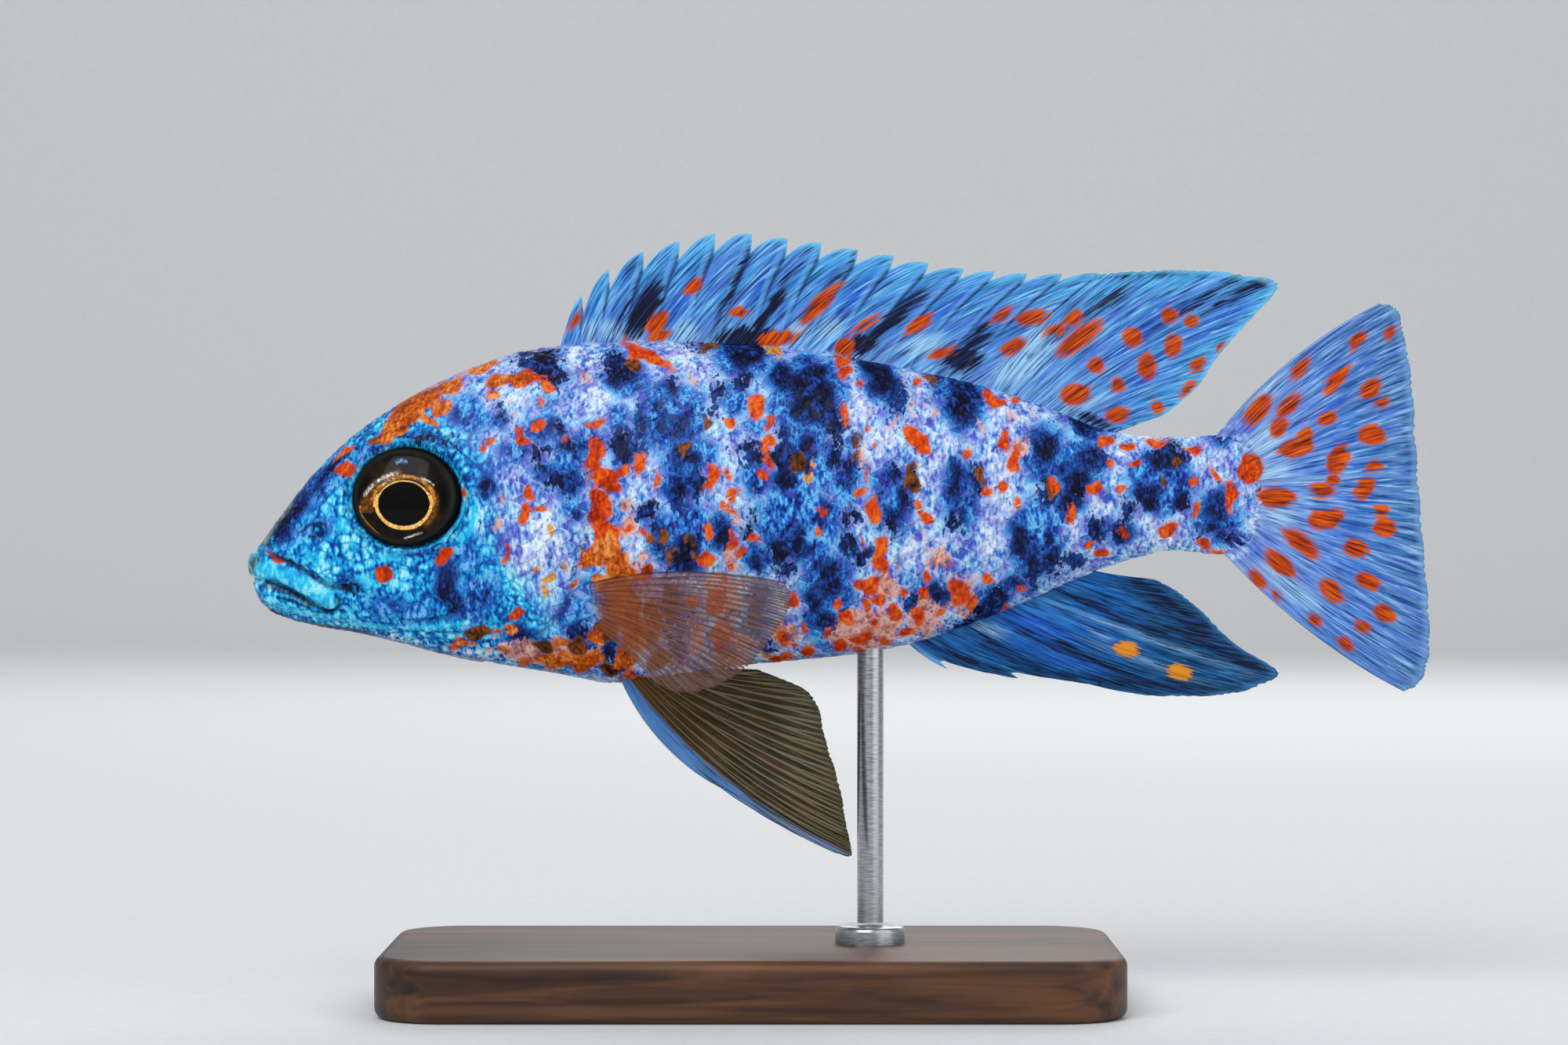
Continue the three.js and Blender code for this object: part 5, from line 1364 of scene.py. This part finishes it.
# Tones of the gold ring and of the iris, and the layers of colour over the iris from the lowest:
# attribute, strengths where it starts and is full, and its tones
GOLD_TONES = [(0.3, "#B8701C"), (0.42, "#E8A63C"), (0.55, "#F8CC70"), (0.72, "#FFF0C0")]
IRIS_TONES = [(0.36, "#030202"), (0.52, "#0E0A06"), (0.68, "#241A0A")]
IRIS_LAYERS = [
    ("brown", 0.1, 1.0, [(0.3, "#241004"), (0.5, "#6A3C10"), (0.75, "#A8702C")]),
    ("amber", 0.3, 0.9, [(0.3, "#4C280A"), (0.5, "#B0701E"), (0.75, "#F4C464")]),
    ("azure", 0.2, 1.0, [(0.35, "#06142C"), (0.5, "#1E4C80"), (0.66, "#8CC0E0")]),
    # silver is the iris's own under the pupil and painted glints above it
    ("silver", 0.3, 0.9, [(0.35, "#3C3C34"), (0.5, "#A0A49C"), (0.62, "#F4F4EC")]),
]


def wet_eye():
    """Eye under a clear cornea: black pupil in a bright gold ring, and a dark iris with brown and silver
    streaks. The silver above the pupil is a painted glint, and the black band at the eyeball's edge painted
    shade where the skin meets it."""
    material, shader, node = new_material(
        "wet_eye", Coat_Weight=0.14, Coat_Roughness=0.07, Roughness=0.5, Specular_IOR_Level=0.05
    )
    place = node("TexCoord", output="Object")
    grain = node(
        "TexNoise", {"Vector": place, "Scale": per_metre(0.35), "Detail": 3, "Roughness": 0.7}
    )
    broad = node("TexNoise", {"Vector": place, "Scale": per_metre(2.4), "Detail": 2})
    layers = []
    for attribute, low, high, stops in IRIS_LAYERS:
        strength = node("Attribute", output="Fac", attribute_name=attribute)
        tones = node("ValToRGB", {"Fac": grain}, stops=stops)
        layers.append((strength, low, high, 1, tones))
    beyond = node("Attribute", output="Fac", attribute_name="beyond_pupil")
    gilt = node("Attribute", output="Fac", attribute_name="gold")
    out = node("Attribute", output="Fac", attribute_name="out")
    edge = node("Math", {0: grain, 1: 0.12, 2: beyond}, operation="MULTIPLY_ADD")
    thick = node("Math", {0: gilt, 1: -0.4, 2: edge}, operation="MULTIPLY_ADD")
    gold = node("ValToRGB", {"Fac": grain}, stops=GOLD_TONES)
    # The gold ring, the black pupil, a darker outer iris, and a black band at the edge, painted shade where
    # the skin meets the eyeball
    layers += [
        (thick, GOLD_RING + 0.08, GOLD_RING - 0.08, 1, gold), (edge, 0.1, 0.04, 1, "#010101"),
        (out, 0.87, 0.92, 1, "#1C1B14"), (out, 0.95, 0.99, 1, "#04060A"),
    ]
    iris = node("ValToRGB", {"Fac": broad}, stops=IRIS_TONES)
    set_inputs(shader, {"Base Color": washed(node, iris, layers)})
    return material


# Stand. Edges that turn by more than SHARP_FROM stay sharp in the shading.
CORNER_RADIUS = 8 * MM
EDGE_ROUNDING = 1.2 * MM
LEVEL_WITHIN = 1e-6
SHARP_FROM = math.radians(35)
WALNUT_TONES = [(0.36, "#1E110A"), (0.48, "#3C2415"), (0.58, "#5A3A22"), (0.7, "#70492C")]
STEEL_TONES = [(0.35, "#9A9DA1"), (0.65, "#C9CBCE")]


def walnut():
    """Oiled walnut, planed and sanded: brown with darker grain along the base's length."""
    material, shader, node = new_material("oiled_walnut", Specular_IOR_Level=0.35)
    place = node("TexCoord", output="Object")
    lengthwise = node("Mapping", {"Vector": place, "Scale": (0.08, 1, 1)})
    grain, figure = (
        node(
            "TexNoise",
            {"Vector": lengthwise, "Scale": per_metre(size), "Detail": detail, "Distortion": bent},
        )
        for size, detail, bent in ((1.6, 4, 0.6), (7, 2, 1.2))
    )
    tone = node("MixRGB", {"Fac": 0.5, "Color1": grain, "Color2": figure})
    colour = node("ValToRGB", {"Fac": tone}, stops=WALNUT_TONES)
    gloss = node("MapRange", {"Value": grain, "To Min": 0.36, "To Max": 0.56})
    bump = node("Bump", {"Height": grain, "Strength": 0.3, "Distance": 0.1 * MM})
    set_inputs(shader, {"Base Color": colour, "Roughness": gloss, "Normal": bump})
    return material


def brushed_steel():
    """Stainless steel, brushed round the rod: fine level scratches that spread the highlights."""
    material, shader, node = new_material("brushed_steel", Metallic=1.0)
    place = node("TexCoord", output="Object")
    level = node("Mapping", {"Vector": place, "Scale": (0.1, 0.1, 1)})
    scratches = node("TexNoise", {"Vector": level, "Scale": per_metre(0.12), "Detail": 2})
    colour = node("ValToRGB", {"Fac": scratches}, stops=STEEL_TONES)
    gloss = node("MapRange", {"Value": scratches, "To Min": 0.2, "To Max": 0.42})
    set_inputs(shader, {"Base Color": colour, "Roughness": gloss})
    return material


def round_edges(piece, offset, segments, upright=False, above=-math.inf):
    """Rounds the upright edges of a piece, or its level edges over a height."""
    bpy.ops.object.mode_set(mode="EDIT")
    bpy.ops.mesh.select_mode(type="EDGE")
    bpy.ops.mesh.select_all(action="DESELECT")
    bpy.ops.object.mode_set(mode="OBJECT")
    for edge in piece.data.edges:
        a, b = (piece.data.vertices[i].co for i in edge.vertices)
        level = abs(a.z - b.z) < LEVEL_WITHIN
        edge.select = level != upright and a.z > above
    bpy.ops.object.mode_set(mode="EDIT")
    bpy.ops.mesh.bevel(offset=offset, segments=segments)
    bpy.ops.object.mode_set(mode="OBJECT")


def stand_block():
    """The base: a flat block with rounded corners and softened edges."""
    low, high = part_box("stand_base")
    block = new_piece(
        "walnut_base", bpy.ops.mesh.primitive_cube_add, size=1, location=(low + high) / 2,
        scale=high - low,
    )
    bpy.ops.object.transform_apply(location=True, rotation=False, scale=True)
    round_edges(block, CORNER_RADIUS, 14, upright=True)
    round_edges(block, EDGE_ROUNDING, 5)
    bpy.ops.object.shade_smooth_by_angle(angle=SHARP_FROM)
    return block


def stand_turning(name, node, top, rounding):
    """A turned steel piece in the place of a node of the stand, with a softened upper edge."""
    low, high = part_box(node)
    middle = (low + high) / 2
    piece = new_piece(
        name, bpy.ops.mesh.primitive_cylinder_add, vertices=96, radius=(high.x - low.x) / 2,
        depth=high.z + top - low.z, location=(middle.x, middle.y, (low.z + high.z + top) / 2),
    )
    bpy.ops.object.transform_apply(location=True, rotation=False, scale=False)
    round_edges(piece, rounding, 4, above=middle.z)
    bpy.ops.object.shade_smooth_by_angle(angle=SHARP_FROM)
    return piece


def give(piece, material, slot, *nodes):
    """Finishes a piece: its material, the body it rides on and the nodes it stands for. slot is not used."""
    piece.data.materials.clear()
    piece.data.materials.append(material)
    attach(piece, "root")
    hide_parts(*nodes)


# The fish
table = turn_table()
skin = fish_skin()
give(
    skin, living_skin("living_skin", False), "skin",
    "head", "upper_jaw", "lower_jaw", "throat", "gill_cover_left", "gill_cover_right", "trunk",
    "tail_stalk",
)
scale_material = living_skin("skin_scales", True)
for side in (-1, 1):
    coat = scale_coat(side, table)
    give(coat, scale_material, "skin", "trunk")

dorsal_membrane = fin_membrane(
    "dorsal_membrane", [(0.05, "#78B4EC"), (0.35, "#4488D6"), (0.7, "#3C8CD4"), (0.95, "#46A8E2")],
    {"ray": "#6CB0E8", "light": "#8ED8FA", "dark": "#0E2868", "second": "#5470D8",
     "lead": "#4C9CE4", "rim": "#74CCF4"},
)
tail_membrane = fin_membrane(
    "tail_membrane",
    [(0.05, "#A0B8EC"), (0.35, "#6C9AE0"), (0.6, "#4682D0"), (0.85, "#3A76B4"), (1.0, "#34689C")],
    {"ray": "#7CA8DE", "light": "#A2D0F4", "dark": "#123080", "second": "#5478D8",
     "lead": "#88A8D4", "rim": "#74A4D2"},
)
anal_membrane = fin_membrane(
    "anal_membrane", [(0.03, "#3080D0"), (0.3, "#0A5EB4"), (0.6, "#0C4C82"), (1.0, "#0E3E5C")],
    {"ray": "#1E6AAC", "light": "#3E8ACC", "dark": "#030E28", "second": "#16507C",
     "lead": "#6CB0EC", "rim": "#3C78B0"},
)
pectoral_membrane = fin_membrane(
    "pectoral_membrane", [(0.03, "#C0683C"), (0.3, "#B0623E"), (0.55, "#A07060"), (0.9, "#7C6A66")],
    {"ray": "#3A2622", "light": "#A87860", "dark": "#38221C", "second": "#B4683E",
     "lead": "#4C3834", "rim": "#5C4A46"},
    opacity=(0.12, 0.8, 0.09),
)
pelvic_membrane = fin_membrane(
    "pelvic_membrane", [(0.03, "#7C4A10"), (0.2, "#4A3414"), (0.55, "#34301A"), (1.0, "#383C28")],
    {"ray": "#80745C", "light": "#6E6648", "dark": "#120E06", "second": "#5A3A14",
     "lead": "#4898EA", "rim": "#48442F"},
    opacity=(0.7, 1.0, 0.02),
)
give(fin_blade("dorsal_spines", SPINY_DORSAL, slant=0.16), dorsal_membrane, "fin", "dorsal_fin_spiny")
give(fin_blade("dorsal_rays", SOFT_DORSAL), dorsal_membrane, "fin", "dorsal_fin_soft")
give(fin_blade("tail_rays", TAIL_FIN), tail_membrane, "fin", "tail_fin")
give(fin_blade("anal_rays", ANAL_FIN), anal_membrane, "fin", "anal_fin")
for side, name in ((1, "left"), (-1, "right")):
    pectoral = fin_blade("pectoral_rays_" + name, PECTORAL_FIN, thickness=0.5, side=side)
    give(pectoral, pectoral_membrane, "clear_fin", "pectoral_fin_" + name)
    pelvic = fin_blade("pelvic_rays_" + name, PELVIC_FIN, thickness=0.6, side=side)
    give(pelvic, pelvic_membrane, "clear_fin", "pelvic_fin_" + name)

eye_material = wet_eye()
give(fish_eye("eyeball_left", -1), eye_material, "eye", "eye_left")
give(fish_eye("eyeball_right", 1), eye_material, "eye", "eye_right")

# The stand
steel = brushed_steel()
give(stand_block(), walnut(), "wood", "stand_base")
give(stand_turning("steel_rod", "stand_rod", 1.0 * MM, 0.1 * MM), steel, "steel", "stand_rod")
give(stand_turning("steel_collar", "stand_collar", 0, 0.6 * MM), steel, "steel", "stand_collar")


# Studio. The ball becomes flat floor, then curve, then wall, by shares of the way up its rings, and
# is open at the top.
FLOOR_RADIUS, FLAT_SHARE = 1.6, 0.4
FLOOR_CURVE, CURVED_SHARE = 0.6, 0.3
WALL_HEIGHT, OPEN_FROM = 1.6, 0.95


def studio_floor():
    """A pale floor that curves up into a wall all round, from the lower part of a ball."""
    floor = new_piece(
        "studio_floor", bpy.ops.mesh.primitive_uv_sphere_add, segments=128, ring_count=64
    )
    x, y, z = points_of(floor).T
    share = np.arccos(np.clip(-z, -1, 1)) / np.pi
    turn = np.arctan2(y, x)
    bend = np.clip((share - FLAT_SHARE) / CURVED_SHARE, 0, 1) * np.pi / 2
    wall = np.clip((share - FLAT_SHARE - CURVED_SHARE) / (1 - FLAT_SHARE - CURVED_SHARE), 0, 1)
    radius = np.minimum(share / FLAT_SHARE, 1) * FLOOR_RADIUS + np.sin(bend) * FLOOR_CURVE
    height = (1 - np.cos(bend)) * FLOOR_CURVE + wall * WALL_HEIGHT
    move_points(floor, np.stack([radius * np.cos(turn), radius * np.sin(turn), height], -1))
    bpy.ops.object.mode_set(mode="EDIT")
    bpy.ops.mesh.select_all(action="DESELECT")
    bpy.ops.object.mode_set(mode="OBJECT")
    for vertex, at in zip(floor.data.vertices, share):
        vertex.select = bool(at > OPEN_FROM)
    bpy.ops.object.mode_set(mode="EDIT")
    bpy.ops.mesh.delete(type="VERT")
    bpy.ops.mesh.select_all(action="SELECT")
    bpy.ops.mesh.flip_normals()
    bpy.ops.object.mode_set(mode="OBJECT")
    bpy.ops.object.shade_smooth()
    material, shader, node = new_material("matt_paper", Roughness=0.9, Specular_IOR_Level=0.2)
    place = node("TexCoord", output="Object")
    fibre = node("TexNoise", {"Vector": place, "Scale": per_metre(2)})
    colour = node("ValToRGB", {"Fac": fibre}, stops=[(0.3, "#DEDFE1"), (0.7, "#E2E3E5")])
    set_inputs(shader, {"Base Color": colour})
    floor.data.materials.append(material)


def studio_light(name, place, aim, size, power):
    """A square light at a place, turned towards its aim."""
    light = bpy.data.lights.new(name, "AREA")
    light.size, light.energy = size, power
    lamp = bpy.data.objects.new(name, light)
    bpy.context.scene.collection.objects.link(lamp)
    lamp.location = place
    direction = np.array(aim) - np.array(place)
    flat = math.hypot(direction[0], direction[1])
    lamp.rotation_euler = (math.atan2(flat, -direction[2]), 0, math.atan2(-direction[0], direction[1]))


def studio_camera():
    """Level with the fish's middle and square to its left side, as in the photograph."""
    data = bpy.data.cameras.new("camera")
    data.lens, data.sensor_width = 100, 36
    data.clip_start, data.clip_end = 0.01, 20
    camera = bpy.data.objects.new("camera", data)
    bpy.context.scene.collection.objects.link(camera)
    fore, up = CAMERA["fore"] - NOSE_TO_STAND, CAMERA["up"] + LOWEST_FIN_HEIGHT
    camera.location = np.array([fore, -CAMERA["away"], up]) * MM
    camera.rotation_euler = (math.pi / 2, 0, 0)
    bpy.context.scene.camera = camera


studio_floor()
FISH = (0.01, 0, 0.055)
studio_light("key", (-0.35, -0.75, 0.75), FISH, 0.7, 6.8)
studio_light("fill", (0.7, -0.6, 0.35), FISH, 0.9, 2.4)
studio_light("back", (0.2, 0.8, 0.7), FISH, 0.8, 4)
studio_light("wall", (0, 1.2, 1.4), (0, 2.2, 0.7), 1, 5)
world = bpy.data.worlds.new("studio")
bpy.context.scene.world = world
world.use_nodes = True
world.node_tree.nodes["Background"].inputs["Color"].default_value = linear("#EEEFF1")
world.node_tree.nodes["Background"].inputs["Strength"].default_value = 0.55
bpy.context.scene.view_settings.view_transform = "Standard"
studio_camera()
